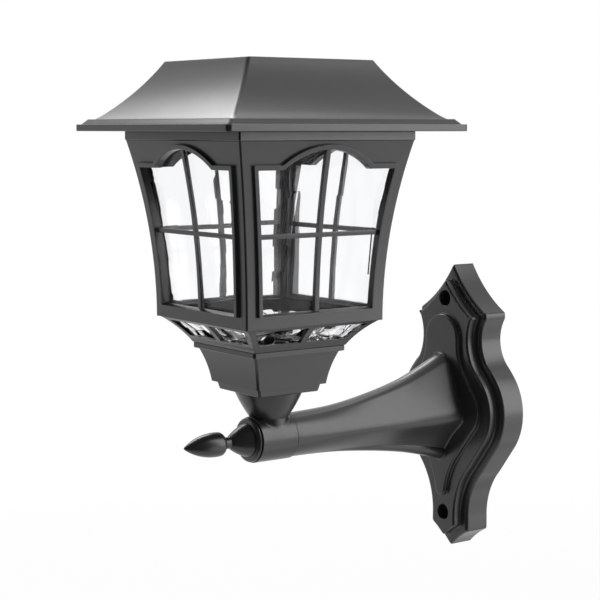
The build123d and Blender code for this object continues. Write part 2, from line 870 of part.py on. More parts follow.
washer_height = floor_height
nut_height = washer_height + washer_thickness
bolt_head_height = arm_axis_height + sqrt(sleeve_bore ** 2 - bolt_head_radius ** 2) - fit_gap

with BuildPart() as neck_bolt:
    with BuildSketch(level(bolt_head_height)):
        Circle(bolt_head_radius)
    extrude(amount=-bolt_head)
    with BuildSketch(level(bolt_head_height)):
        Circle(bolt_radius)
    extrude(amount=nut_height + nut_thickness + bolt_end - bolt_head_height)
save(neck_bolt, "neck_bolt")

with BuildPart() as neck_washer:
    with BuildSketch(level(washer_height)):
        Circle(washer_radius)
        Circle(bolt_radius + hole_gap, mode=Mode.SUBTRACT)
    extrude(amount=washer_thickness)
save(neck_washer, "neck_washer")

with BuildPart() as neck_nut:
    with BuildSketch(level(nut_height)):
        RegularPolygon(nut_radius, 6)
        Circle(bolt_radius + hole_gap, mode=Mode.SUBTRACT)
    extrude(amount=nut_thickness)
save(neck_nut, "neck_nut")


# Finial: a stepped ring, then a bell, a waist and a pointed bulb turned in one piece, on a stud
ring_groove_radius = 11.5
ring_groove_width = 0.6
ring_radius = 13.0
ring_thickness = 2.2
bell_radius = 9.9
bell_length = 12.0
bell_sag = 0.5
waist_radius = 3.5
waist_length = 4.2
bulb_radius = 7.0
bulb_back = 3.4
bulb_back_sag = 0.9
bulb_front = 22.8
bulb_sag = 2.0
tip_radius = 0.9
stud_nut_radius = 5.0
stud_nut_thickness = 3.0
stud_depth = 9.0             # into the bell

ring_front = lantern_reach + sleeve_front + ring_groove_width + ring_thickness
bell_end = ring_front + bell_length
waist_end = bell_end + waist_length
bulb_middle = waist_end + bulb_back
bulb_end = bulb_middle + bulb_front
turning_plane = Plane(origin=(0, 0, arm_axis_height), x_dir=(0, -1, 0), z_dir=(-1, 0, 0))

with BuildPart() as finial_ring:
    with BuildSketch(round_plane(lantern_reach + sleeve_front)):
        Circle(ring_groove_radius)
        Circle(stud_radius + hole_gap, mode=Mode.SUBTRACT)
    extrude(amount=ring_groove_width)
    with BuildSketch(round_plane(lantern_reach + sleeve_front + ring_groove_width)):
        Circle(ring_radius)
        Circle(stud_radius + hole_gap, mode=Mode.SUBTRACT)
    extrude(amount=ring_thickness)
save(finial_ring, "finial_ring")

with BuildPart() as finial:
    with BuildSketch(turning_plane):
        with BuildLine():
            base = Line((ring_front, 0), (ring_front, bell_radius))
            bell = SagittaArc(base @ 1, (bell_end, waist_radius), bell_sag)
            waist = Line(bell @ 1, (waist_end, waist_radius))
            back = SagittaArc(waist @ 1, (bulb_middle, bulb_radius), bulb_back_sag)
            nose = SagittaArc(back @ 1, (bulb_end, tip_radius), bulb_sag)
            Polyline(nose @ 1, (bulb_end, 0), (ring_front, 0))
        make_face()
    revolve(axis=arm_axis)
    with BuildSketch(round_plane(ring_front - overrun)):
        Circle(stud_radius + hole_gap)
    extrude(amount=stud_depth + overrun, mode=Mode.SUBTRACT)
save(finial, "finial")

stud_start = lantern_reach + sleeve_front - sleeve_end_wall - stud_nut_thickness

with BuildPart() as finial_stud:
    with BuildSketch(round_plane(stud_start)):
        Circle(stud_radius)
    extrude(amount=ring_front + stud_depth - fit_gap - stud_start)
save(finial_stud, "finial_stud")

with BuildPart() as stud_nut:
    with BuildSketch(round_plane(stud_start)):
        RegularPolygon(stud_nut_radius, 6)
        Circle(stud_radius + hole_gap, mode=Mode.SUBTRACT)
    extrude(amount=stud_nut_thickness)
save(stud_nut, "stud_nut")


# Wall plate: a slab, a raised block that follows its outline, and a raised panel for the arm
plate_half_width = 47.7
plate_rise = 89.6
plate_drop = 91.1
slab_depth = 17.2
block_depth = 23.4
panel_depth = 26.4
block_inset = 5.5
plate_wall = 3.0
panel_half_width = 34.1
panel_rise = 58.6
panel_drop = 57.4
wall_screw_spacing = 136.7
wall_screw_hole_radius = 2.7
wall_screw_head_radius = 4.85
wall_screw_seat = 6.0        # depth of the counterbore
screw_boss_radius = 7.0
arm_screw_radius = 2.0
arm_screw_head_radius = 3.8
arm_screw_head = 2.2
arm_screw_reach = 15.0
arm_screw_top = 24.0         # above the arm's axis
arm_screw_low = 17.0         # below the arm's axis


def scaled(x_share, z_share, half_width, rise, drop):
    """Point of an outline, from its shares of the outline's half width and of its rise or drop."""
    return (x_share * half_width, z_share * (rise if z_share > 0 else drop))


def plate_spot(x_share, z_share):
    """Point of the wall plate's outline."""
    return scaled(x_share, z_share, plate_half_width, plate_rise, plate_drop)


def panel_spot(x_share, z_share):
    """Point of the raised panel's outline."""
    return scaled(x_share, z_share, panel_half_width, panel_rise, panel_drop)


with BuildSketch() as plate_outline:
    with BuildLine():
        crest = ThreePointArc(plate_spot(0, 1), plate_spot(0.252, 0.829), plate_spot(0.64, 0.672))
        shoulder = Line(crest @ 1, plate_spot(0.64, 0.632))
        waist = ThreePointArc(shoulder @ 1, plate_spot(0.556, 0.476), plate_spot(0.74, 0.285))
        hip_rise = Line(waist @ 1, plate_spot(0.836, 0.228))
        hip = ThreePointArc(hip_rise @ 1, plate_spot(1, 0.006), plate_spot(0.836, -0.266))
        hip_fall = Line(hip @ 1, plate_spot(0.577, -0.443))
        tail = ThreePointArc(hip_fall @ 1, plate_spot(0.407, -0.578), plate_spot(0.336, -0.800))
        heel = Line(tail @ 1, plate_spot(0.336, -0.870))
        ThreePointArc(heel @ 1, plate_spot(0.155, -0.928), plate_spot(0, -1))
        mirror(about=Plane.YZ)
    make_face()

with BuildSketch() as panel_outline:
    with BuildLine():
        crest = ThreePointArc(panel_spot(0, 1), panel_spot(0.311, 0.923), panel_spot(0.44, 0.718))
        waist = ThreePointArc(crest @ 1, panel_spot(0.475, 0.555), panel_spot(0.587, 0.407))
        hip_rise = Line(waist @ 1, panel_spot(0.862, 0.192))
        hip = ThreePointArc(hip_rise @ 1, panel_spot(1, 0.009), panel_spot(0.9, -0.193))
        hip_fall = Line(hip @ 1, panel_spot(0.446, -0.522))
        tail = ThreePointArc(hip_fall @ 1, panel_spot(0.258, -0.696), panel_spot(0.138, -0.910))
        ThreePointArc(tail @ 1, panel_spot(0.1, -0.972), panel_spot(0, -1))
        mirror(about=Plane.YZ)
    make_face()

wall_screw_spots = [(0, wall_screw_spacing / 2), (0, -wall_screw_spacing / 2)]
arm_screw_spots = [(0, arm_axis_height + arm_screw_top), (0, arm_axis_height - arm_screw_low)]
panel_back = block_depth - plate_wall

with BuildPart() as wall_plate:
    with BuildSketch(wall_plane):
        add(plate_outline.sketch)
    extrude(amount=slab_depth)
    with BuildSketch(wall_plane):
        add(plate_outline.sketch)
        offset(amount=-block_inset, kind=Kind.INTERSECTION, mode=Mode.REPLACE)
    extrude(amount=block_depth)
    with BuildSketch(wall_plane):
        add(panel_outline.sketch)
    extrude(amount=panel_depth)
    with BuildSketch(wall_plane):
        add(plate_outline.sketch)
        offset(amount=-plate_wall, kind=Kind.INTERSECTION, mode=Mode.REPLACE)
    extrude(amount=slab_depth - plate_wall, mode=Mode.SUBTRACT)
    with BuildSketch(wall_plane):
        add(plate_outline.sketch)
        offset(amount=-block_inset - plate_wall, kind=Kind.INTERSECTION, mode=Mode.REPLACE)
    extrude(amount=panel_back, mode=Mode.SUBTRACT)
    with BuildSketch(wall_plane):
        with Locations(*wall_screw_spots):
            Circle(screw_boss_radius)
    extrude(amount=block_depth)
    with BuildSketch(wall_plane):
        with Locations(*wall_screw_spots):
            Circle(wall_screw_hole_radius)
        with Locations(*arm_screw_spots):
            Circle(arm_screw_radius + hole_gap)
    extrude(amount=panel_depth, mode=Mode.SUBTRACT)
    with BuildSketch(wall_plane.offset(block_depth - wall_screw_seat)):
        with Locations(*wall_screw_spots):
            Circle(wall_screw_head_radius)
    extrude(amount=wall_screw_seat, mode=Mode.SUBTRACT)
save(wall_plate, "wall_plate")


# Arm: a hollow bracket that grows from a round spigot into a kite-shaped root on the panel
arm_end_radius = 12.8
arm_wall = 2.5
arm_keel_share = 2.2         # how much thicker the keel is than the wall at the root
root_rise = 39.5
root_drop = 28.6
root_half = 22.1
spigot_gap = 0.05
spigot_length = 5.0
arm_screw_boss_radius = 4.5
arm_screw_boss_length = 34.0
arm_cap = 6.0                # solid stretch behind the spigot

# Sections from the spigot to the root: how far along, how much grown and how far turned to a kite
arm_station_shares = ((0, 0, 0), (0.28, 0.065, 0.35), (0.515, 0.24, 0.7), (0.728, 0.48, 0.9),
                      (0.875, 0.74, 1), (1, 1, 1))
# Corner points of a quarter of the section, round and kite, as shares of its half sizes
top_corner_shares = ((0.407, 0.914), (0.407, 0.83))
side_corner_shares = ((0.9755, 0.22), (0.89, 0.19))
low_side_corner_shares = ((0.9755, 0.22), (0.95, 0.09))
low_corner_shares = ((0.301, 0.954), (0.22, 0.74))
upper_flank_shares = ((0.773, 0.634), (0.629, 0.502))
lower_flank_shares = ((0.736, 0.677), (0.545, 0.388))

arm_start = lantern_reach - sleeve_back
arm_length = arm_start - panel_depth


def blend(shares, kite):
    """Share between its round and its kite value."""
    return tuple(a + (b - a) * kite for a, b in zip(*shares))


def arm_section(grown, kite, inset):
    """Closed section of the arm, part grown from the round end to the root, drawn in by a wall."""
    rise = arm_end_radius + (root_rise - arm_end_radius) * grown - inset
    keel = 1 + arm_keel_share * kite
    drop = arm_end_radius + (root_drop - arm_end_radius) * grown - inset * keel
    half = arm_end_radius + (root_half - arm_end_radius) * grown - inset

    def spot(shares, height, way):
        x_share, z_share = blend(shares, kite)
        return (way * x_share * half, z_share * height)

    with BuildSketch() as section:
        with BuildLine():
            top = ThreePointArc(
                spot(top_corner_shares, rise, 1), (0, rise), spot(top_corner_shares, rise, -1)
            )
            left = ThreePointArc(
                top @ 1, spot(upper_flank_shares, rise, -1), spot(side_corner_shares, rise, -1)
            )
            left_corner = ThreePointArc(left @ 1, (-half, 0), spot(low_side_corner_shares, -drop, -1))
            left_low = ThreePointArc(
                left_corner @ 1, spot(lower_flank_shares, -drop, -1), spot(low_corner_shares, -drop, -1)
            )
            low = ThreePointArc(left_low @ 1, (0, -drop), spot(low_corner_shares, -drop, 1))
            right_low = ThreePointArc(
                low @ 1, spot(lower_flank_shares, -drop, 1), spot(low_side_corner_shares, -drop, 1)
            )
            right_corner = ThreePointArc(right_low @ 1, (half, 0), spot(side_corner_shares, rise, 1))
            ThreePointArc(right_corner @ 1, spot(upper_flank_shares, rise, 1), top @ 0)
        make_face()
    return section.sketch


def arm_body(inset):
    """Lofted arm from the sleeve to the panel, drawn in by an inset."""
    with BuildPart() as body:
        for along, grown, kite in arm_station_shares:
            with BuildSketch(round_plane(arm_start - along * arm_length)):
                add(arm_section(grown, kite, inset))
        loft()
    return body.part


arm_outer = arm_body(0)

with BuildPart() as arm_bosses:
    with BuildSketch(wall_plane.offset(panel_depth)):
        with Locations(*arm_screw_spots):
            Circle(arm_screw_boss_radius)
    extrude(amount=arm_screw_boss_length)
    add(arm_outer, mode=Mode.INTERSECT)

with BuildPart() as arm_hollow:
    add(arm_body(arm_wall))
    with BuildSketch(round_plane(arm_start + overrun)):
        Circle(sleeve_radius)
    extrude(amount=-(overrun + arm_cap), mode=Mode.SUBTRACT)

with BuildPart() as arm:
    add(arm_outer)
    add(arm_hollow.part, mode=Mode.SUBTRACT)
    add(arm_bosses.part)
    with BuildSketch(wall_plane.offset(panel_depth - overrun)):
        with Locations(*arm_screw_spots):
            Circle(arm_screw_radius + hole_gap)
    extrude(amount=arm_screw_reach + overrun, mode=Mode.SUBTRACT)
    with BuildSketch(round_plane(arm_start)):
        Circle(sleeve_bore - spigot_gap)
    extrude(amount=spigot_length)
save(arm, "arm")

with BuildPart() as arm_screws:
    with BuildSketch(wall_plane.offset(panel_back)):
        with Locations(*arm_screw_spots):
            Circle(arm_screw_head_radius)
    extrude(amount=-arm_screw_head)
    with BuildSketch(wall_plane.offset(panel_back)):
        with Locations(*arm_screw_spots):
            Circle(arm_screw_radius)
    extrude(amount=panel_depth - panel_back + arm_screw_reach - fit_gap)
save(arm_screws, "arm_screws")
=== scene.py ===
"""A black solar wall lantern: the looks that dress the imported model."""

import json
import logging
import math
import random
from dataclasses import dataclass
from enum import Enum
from typing import Iterable, Sequence

import bmesh
import bpy
from mathutils import Matrix, Vector


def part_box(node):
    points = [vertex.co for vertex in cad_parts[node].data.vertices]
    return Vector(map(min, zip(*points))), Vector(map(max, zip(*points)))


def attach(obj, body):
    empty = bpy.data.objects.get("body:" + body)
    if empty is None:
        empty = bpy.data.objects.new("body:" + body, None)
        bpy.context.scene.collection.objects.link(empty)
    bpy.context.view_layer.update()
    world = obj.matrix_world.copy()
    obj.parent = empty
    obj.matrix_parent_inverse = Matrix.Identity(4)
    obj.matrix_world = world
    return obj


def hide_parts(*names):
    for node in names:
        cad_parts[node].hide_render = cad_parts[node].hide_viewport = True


MM = 0.001
WHITE = (1.0, 1.0, 1.0, 1.0)
# Distance under which two points of a mesh are one, in millimetres.
SAME_SPOT = 0.001
# Cross product of two lines, and length, that are as good as nothing.
NO_TURN = 1e-7
NO_LENGTH = 1e-9

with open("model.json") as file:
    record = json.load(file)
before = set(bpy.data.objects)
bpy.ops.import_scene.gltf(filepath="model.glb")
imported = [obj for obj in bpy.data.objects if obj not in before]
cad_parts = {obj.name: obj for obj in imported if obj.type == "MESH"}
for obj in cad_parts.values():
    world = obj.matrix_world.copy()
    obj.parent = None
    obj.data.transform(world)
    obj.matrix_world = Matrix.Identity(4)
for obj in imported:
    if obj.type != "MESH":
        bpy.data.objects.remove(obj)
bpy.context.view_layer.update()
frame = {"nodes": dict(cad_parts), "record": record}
log = logging.getLogger("lantern")


class Body(Enum):
    """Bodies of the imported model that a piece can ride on."""

    FIXTURE = "fixture"
    HEAD = "solar_head"


class Side(Enum):
    """Sides of the lantern, with the turn from the front about the upright axis."""

    FRONT = 0
    RIGHT = 90
    REAR = 180
    LEFT = 270

    @property
    def label(self) -> str:
        """Side's name in piece and node names."""
        return self.name.lower()


def node_box(node: str) -> tuple[Vector, Vector]:
    """Lowest and highest corner of a CAD node, in millimetres."""
    low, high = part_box(node)
    return low / MM, high / MM


# Shaders


class Value:
    """A socket's value that takes part in arithmetic."""

    def __init__(self, shader: "Shader", socket: bpy.types.NodeSocket) -> None:
        """Keep the socket and the shader that it belongs to."""
        self.shader = shader
        self.socket = socket

    def __add__(self, other: "Value | float") -> "Value":
        """Sum of both."""
        return self.shader.math("ADD", self, other)

    def __sub__(self, other: "Value | float") -> "Value":
        """This less the other."""
        return self.shader.math("SUBTRACT", self, other)

    def __mul__(self, other: "Value | float") -> "Value":
        """Product of both."""
        return self.shader.math("MULTIPLY", self, other)

    def __mod__(self, other: "Value | float") -> "Value":
        """Remainder, always positive."""
        return self.shader.math("FLOORED_MODULO", self, other)

    def __lt__(self, other: "Value | float") -> "Value":
        """One where this is the lesser, else nothing."""
        return self.shader.math("LESS_THAN", self, other)

    def __gt__(self, other: "Value | float") -> "Value":
        """One where this is the greater, else nothing."""
        return self.shader.math("GREATER_THAN", self, other)

    def __rsub__(self, other: float) -> "Value":
        """The other less this."""
        return self.shader.math("SUBTRACT", other, self)

    __radd__ = __add__
    __rmul__ = __mul__


Input = Value | bpy.types.NodeSocket | float | tuple


class Shader:
    """A material's nodes, made one by one."""

    def __init__(self, name: str, tree: bpy.types.NodeTree | None = None) -> None:
        """Start a material, or take over another node tree.

        Args:
            name: Material's name.
            tree: Node tree to fill instead, such as the world's.
        """
        self.material: bpy.types.Material | None = None
        if tree is None:
            self.material = bpy.data.materials.new(name)
            self.material.use_nodes = True
            tree = self.material.node_tree
        tree.nodes.clear()
        self.tree = tree

    def node(self, kind: str, settings: dict | None = None, inputs: dict | None = None) -> bpy.types.Node:
        """Add a node.

        Args:
            kind: Node's type.
            settings: Properties set first.
            inputs: Values or links of its sockets, by name or number.

        Returns:
            The node.
        """
        made = self.tree.nodes.new(kind)
        for key, value in (settings or {}).items():
            setattr(made, key, value)
        for key, value in (inputs or {}).items():
            socket = made.inputs[key]
            if isinstance(value, Value):
                value = value.socket
            if isinstance(value, bpy.types.NodeSocket):
                self.tree.links.new(value, socket)
            else:
                socket.default_value = value
        return made

    def math(self, operation: str, *values: Value | float) -> Value:
        """Value of a Math node on one or two values."""
        made = self.node("ShaderNodeMath", {"operation": operation}, dict(enumerate(values)))
        return Value(self, made.outputs[0])

    def coordinates(self) -> bpy.types.NodeSocket:
        """Object coordinates, in metres."""
        return self.node("ShaderNodeTexCoord").outputs["Object"]

    def place(self) -> tuple[Value, Value, Value]:
        """Split the object coordinates.

        Returns:
            The places across, along and up, in metres.
        """
        split = self.node("ShaderNodeSeparateXYZ", inputs={0: self.coordinates()})
        across, along, up = (Value(self, socket) for socket in split.outputs)
        return across, along, up

    def seen(self) -> Value:
        """Find out whether the camera, a reflection or a clear part looks.

        Returns:
            One if it does, else nothing.
        """
        path = self.node("ShaderNodeLightPath")
        looks = Value(self, path.outputs["Is Camera Ray"])
        for way in ("Is Glossy Ray", "Is Transmission Ray"):
            looks = self.math("MAXIMUM", looks, Value(self, path.outputs[way]))
        return looks

    def noise(self, scale: float, detail: float = 3.0) -> Value:
        """Cloudy noise on the object, from 0 to 1."""
        made = self.node(
            "ShaderNodeTexNoise", inputs={"Vector": self.coordinates(), "Scale": scale, "Detail": detail}
        )
        return Value(self, made.outputs[0])

    def blend(self, share: Value, low: Input, high: Input) -> bpy.types.NodeSocket:
        """Colour between two colours, by a share."""
        made = self.node("ShaderNodeMix", {"data_type": "RGBA"}, {0: share, 6: low, 7: high})
        return made.outputs[2]

    def bump(self, height: Value, distance: float) -> bpy.types.NodeSocket:
        """Normal that a height bends."""
        made = self.node("ShaderNodeBump", inputs={"Strength": 1.0, "Distance": distance, "Height": height})
        return made.outputs[0]

    def surface(self, inputs: dict) -> None:
        """End the material in a Principled surface with these inputs."""
        principled = self.node("ShaderNodeBsdfPrincipled", inputs=inputs)
        self.node("ShaderNodeOutputMaterial", inputs={"Surface": principled.outputs[0]})


def shade(colour: tuple[float, float, float], share: float = 1.0) -> tuple[float, ...]:
    """Colour with its opacity, made darker or lighter by a share."""
    return (*(part * share for part in colour), 1.0)


@dataclass(frozen=True)
class Finish:
    """A moulded or metal finish whose tone, gloss and skin vary a little over the surface."""

    name: str
    colour: tuple[float, float, float]
    roughness: float
    metallic: float = 0.0
    clear: float = 0.0
    ior: float = 1.5
    tone_change: float = 0.12
    gloss_change: float = 0.06
    patch_scale: float = 60.0
    grain_scale: float = 900.0
    grain_height: float = 0.00002
    grain_detail: float = 2.0
    gloss_patches: float = 2.3

    def base_colour(self, shader: Shader) -> Input:
        """Colour of the finish, a little lighter and darker in patches."""
        dark, light = (shade(self.colour, 1 + change) for change in (-self.tone_change, self.tone_change))
        return shader.blend(shader.noise(self.patch_scale), dark, light)

    def height(self, shader: Shader) -> Value:
        """Relief of the finish's skin."""
        return shader.noise(self.grain_scale, self.grain_detail)

    def dullness(self, shader: Shader) -> Value:
        """Roughness of the finish, a little higher and lower in patches."""
        gloss = shader.noise(self.patch_scale * self.gloss_patches) - 0.5
        return gloss * (2 * self.gloss_change) + self.roughness

    def material(self) -> bpy.types.Material:
        """Build the finish's material.

        Returns:
            The material.
        """
        shader = Shader(self.name)
        shader.surface({
            "Base Color": self.base_colour(shader),
            "Roughness": self.dullness(shader),
            "Metallic": self.metallic,
            "Transmission Weight": self.clear,
            "IOR": self.ior,
            "Normal": shader.bump(self.height(shader), self.grain_height),
        })
        return shader.material


@dataclass(frozen=True)
class MouldedFinish(Finish):
    """Satin outside, but matt on the glazed body's inner faces. Its lengths are in metres."""

    axis_y: float = 0.0
    low_z: float = 0.0
    high_z: float = 0.0
    low_reach: float = 0.0
    flare: float = 0.0
    floor_depth: float = 3.0 * MM
    matt: float = 0.62

    def dullness(self, shader: Shader) -> Value:
        """Make the finish much duller inside the body.

        Args:
            shader: Shader of the finish.

        Returns:
            Its roughness.
        """
        across, along, up = shader.place()
        aside = shader.math("ABSOLUTE", across)
        ahead = shader.math("ABSOLUTE", along - self.axis_y)
        climb = up - self.low_z
        limit = climb * climb * self.flare + self.low_reach
        level = (climb > -self.floor_depth) * (up < self.high_z)
        inside = (shader.math("MAXIMUM", aside, ahead) < limit) * level
        return super().dullness(shader) + inside * self.matt


@dataclass(frozen=True)
class CrystalFinish(Finish):
    """Clear plastic moulded in facets, like cut glass."""

    facet_scale: float = 75.0

    def height(self, shader: Shader) -> Value:
        """Facet the moulding like cut glass.

        Args:
            shader: Shader of the finish.

        Returns:
            Its relief.
        """
        facets = {"Vector": shader.coordinates(), "Scale": self.facet_scale}
        cells = shader.node("ShaderNodeTexVoronoi", {"feature": "F1"}, facets)
        return Value(shader, cells.outputs["Distance"])


@dataclass(frozen=True)
class SolarFinish(Finish):
    """Blue-black silicon with fine silver lines and a wide one here and there."""

    finger_pitch: float = 1.9 * MM
    finger_width: float = 0.14 * MM
    bar_pitch: float = 32.0 * MM
    bar_width: float = 1.1 * MM
    silver: tuple[float, float, float] = (0.55, 0.57, 0.6)

    def base_colour(self, shader: Shader) -> Input:
        """Draw silver lines on the silicon's colour.

        Args:
            shader: Shader of the finish.

        Returns:
            Its colour.
        """
        _, along, _ = shader.place()
        fingers = along % self.finger_pitch < self.finger_width
        bars = along % self.bar_pitch < self.bar_width
        lines = shader.math("MAXIMUM", fingers, bars)
        silicon = shader.blend(shader.noise(self.patch_scale), shade(self.colour), shade(self.colour, 2))
        return shader.blend(lines, silicon, shade(self.silver))


@dataclass(frozen=True)
class WrapFinish(Finish):
    """Battery wrap: a green sleeve with a plain silver band at one end."""

    band_start: float = 12.0 * MM
    band: tuple[float, float, float] = (0.5, 0.51, 0.52)

    def base_colour(self, shader: Shader) -> Input:
        """Green sleeve, then the silver band."""
        across, _, _ = shader.place()
        return shader.blend(across > self.band_start, super().base_colour(shader), shade(self.band))


class Finishes:
    """Every finish of the lantern, made once."""

    def __init__(self, body: "GlazedBody") -> None:
        """Build the materials, by the record's slots.

        Args:
            body: Glazed body, whose inner faces are matt.
        """
        lantern = body.lantern
        margin = 0.5
        finishes = (
            MouldedFinish(
                "black_plastic", (0.013, 0.013, 0.0135), 0.3, tone_change=0.18, gloss_change=0.035,
                axis_y=lantern.axis_y * MM, low_z=lantern.body_z * MM, high_z=lantern.collar_z * MM,
                low_reach=(body.low_half - body.frame_wall + margin) * MM,
                flare=1 / (2 * body.flare_radius * MM),
            ),
            Finish(
                "clear_plastic", (0.97, 0.975, 0.98), 0.02, clear=1.0, ior=1.2, tone_change=0.01,
                gloss_change=0.01, grain_scale=14.0, grain_height=0.0001,
            ),
            CrystalFinish(
                "crystal_plastic", (0.96, 0.965, 0.97), 0.05, clear=1.0, ior=1.3, tone_change=0.02,
                grain_height=0.004,
            ),
            Finish(
                "panel_cover", (0.93, 0.95, 0.96), 0.06, clear=1.0, ior=1.45, tone_change=0.02,
                grain_height=0.00001,
            ),
            SolarFinish("solar_cell", (0.008, 0.014, 0.045), 0.25, metallic=0.1),
            Finish("board_green", (0.02, 0.13, 0.05), 0.42, patch_scale=300.0, tone_change=0.3),
            Finish(
                "screw_steel", (0.52, 0.52, 0.53), 0.32, metallic=1.0, grain_scale=2500.0,
                grain_height=0.00001,
            ),
            Finish("contact_metal", (0.62, 0.6, 0.54), 0.28, metallic=1.0, grain_scale=1800.0),
            WrapFinish("cell_wrap", (0.03, 0.2, 0.09), 0.3),
            Finish("rubber_seal", (0.02, 0.02, 0.02), 0.75, grain_height=0.00005),
            Finish("led_clear", (0.95, 0.93, 0.85), 0.08, clear=0.9),
            Finish("chip_black", (0.018, 0.018, 0.02), 0.55, grain_height=0.00004),
            Finish("lead_red", (0.4, 0.02, 0.015), 0.4),
            Finish("switch_black", (0.025, 0.025, 0.027), 0.45),
            Finish("knob_white", (0.75, 0.75, 0.72), 0.4, tone_change=0.03),
        )
        self.by_slot = {finish.name: finish.material() for finish in finishes}

    def of(self, slot: str) -> bpy.types.Material:
        """Material of a slot."""
        return self.by_slot[slot]


# Shaping


def arc(start: Vector, via: Vector, end: Vector, steps: int) -> list[Vector]:
    """Points on the circle through three points of a plane.

    Args:
        start: First point.
        via: Point between them.
        end: Last point.
        steps: Number of stretches.

    Returns:
        The points, from the first to the last.
    """
    first, second = via - start, end - start
    cross = 2 * (first.x * second.y - first.y * second.x)
    centre = start + Vector((
        (second.y * first.length_squared - first.y * second.length_squared) / cross,
        (first.x * second.length_squared - second.x * first.length_squared) / cross,
    ))
    spoke = start - centre
    sweep = spoke.angle_signed(end - centre)
    turn = spoke.angle_signed(via - centre)
    if sweep * turn < 0 or abs(turn) > abs(sweep):
        sweep -= math.copysign(math.tau, sweep)
    return [centre + Matrix.Rotation(-sweep * step / steps, 2) @ spoke for step in range(steps + 1)]


def sagged(start: Vector, end: Vector, sag: float, steps: int) -> list[Vector]:
    """Points on an arc that leaves its chord by a sag.

    Args:
        start: First point.
        end: Last point.
        sag: How far it leaves the chord, to its left where the sag is positive.
        steps: Number of stretches.

    Returns:
        The points, from the first to the last.
    """
    chord = end - start
    side = Vector((-chord.y, chord.x)).normalized()
    return arc(start, (start + end) / 2 + side * sag, end, steps)


def eased(before: Vector, corner: Vector, after: Vector, reach: float, steps: int) -> list[Vector]:
    """Points that round a corner.

    Args:
        before: Point before the corner.
        corner: The corner.
        after: Point after the corner.
        reach: How far from the corner the rounding starts.
        steps: Number of stretches.

    Returns:
        The points of the rounding.
    """
    start = corner + (before - corner).normalized() * reach
    end = corner + (after - corner).normalized() * reach
    points = []
    for step in range(steps + 1):
        share = step / steps
        points.append(start.lerp(corner, share).lerp(corner.lerp(end, share), share))
    return points


def rounded_square(half: float, height: float, radius: float, steps: int = 6) -> list[Vector]:
    """Ring of a square with round corners, at a height.

    Args:
        half: Half of the square's side.
        height: The ring's height.
        radius: Radius of the corners.
        steps: Number of stretches of a corner.

    Returns:
        The ring's points.
    """
    spread = half - radius
    points = []
    for corner, (way_x, way_y) in enumerate(((1, 1), (-1, 1), (-1, -1), (1, -1))):
        for step in range(steps + 1):
            angle = math.pi / 2 * (corner + step / steps)
            points.append(Vector((
                way_x * spread + radius * math.cos(angle), way_y * spread + radius * math.sin(angle), height
            )))
    return points


def round_like(ring: Sequence[Vector], radius: float, height: float) -> list[Vector]:
    """Round ring whose points stand at the same angles as another ring's."""
    return [Vector((*(point.xy.normalized() * radius), height)) for point in ring]


def mirrored(run: Sequence[Vector]) -> list[Vector]:
    """Run of points on the other side, its last point first."""
    return [Vector((-point.x, point.y)) for point in reversed(run)]


def drawn_in(run: list[Vector], inset: float) -> list[Vector]:
    """Draw a run of points in to its right, each point along its own normal.

    Args:
        run: The points.
        inset: How far they are drawn in.

    Returns:
        The points drawn in.
    """
    drawn = []
    for number, point in enumerate(run):
        before, after = run[max(number - 1, 0)], run[min(number + 1, len(run) - 1)]
        along = (after - before).normalized()
        drawn.append(point + Vector((along.y, -along.x)) * inset)
    return drawn


def crossing(first: tuple[Vector, Vector], second: tuple[Vector, Vector]) -> tuple[float, float] | None:
    """Find where two straight lines cross.

    Args:
        first: Two points of the first line.
        second: Two points of the second line.

    Returns:
        The shares along both at which they cross, if they do.
    """
    a, b = first[1] - first[0], second[1] - second[0]
    gap = second[0] - first[0]
    turn = a.x * b.y - a.y * b.x
    if abs(turn) < NO_TURN:
        return None
    return (gap.x * b.y - gap.y * b.x) / turn, (gap.x * a.y - gap.y * a.x) / turn


def met(first: list[Vector], second: list[Vector]) -> tuple[list[Vector], list[Vector]]:
    """Trim two runs of points to where they cross, or draw them on to where they meet.

    Args:
        first: Run that comes first.
        second: Run that follows it.

    Returns:
        The two runs, with one end in common.
    """
    for back in range(len(first) - 1, 0, -1):
        for ahead in range(len(second) - 1):
            shares = crossing((first[back - 1], first[back]), (second[ahead], second[ahead + 1]))
            if shares and 0 <= shares[0] <= 1 and 0 <= shares[1] <= 1:
                spot = first[back - 1].lerp(first[back], shares[0])
                return first[:back] + [spot], [spot] + second[ahead + 1:]
    shares = crossing((first[-2], first[-1]), (second[0], second[1]))
    spot = (first[-1] + second[0]) / 2
    if shares and abs(shares[0]) < 4:
        spot = first[-2] + (first[-1] - first[-2]) * shares[0]
    return first[:-1] + [spot], [spot] + second[1:]


def softened(run: list[Vector], passes: int) -> list[Vector]:
    """Round the bends of a run by drawing each point towards its neighbours.

    Args:
        run: The points.
        passes: How many times they are drawn.

    Returns:
        The points of the softer run.
    """
    for _ in range(passes):
        inner = [(before + point * 2 + after) / 4 for before, point, after in zip(run, run[1:], run[2:])]
        run = [run[0], *inner, run[-1]]
    return run


def evened(run: list[Vector], count: int) -> list[Vector]:
    """Spread points evenly along a run.

    Args:
        run: The run's own points.
        count: Number of points to spread.

    Returns:
        The points spread.
    """
    reach = [0.0]
    for before, after in zip(run, run[1:]):
        reach.append(reach[-1] + (after - before).length)
    spread = []
    for step in range(count):
        goal = reach[-1] * step / (count - 1)
        spot = next(n for n in range(1, len(run)) if reach[n] >= goal - NO_LENGTH or n == len(run) - 1)
        share = (goal - reach[spot - 1]) / max(reach[spot] - reach[spot - 1], NO_LENGTH)
        spread.append(run[spot - 1].lerp(run[spot], min(max(share, 0), 1)))
    return spread


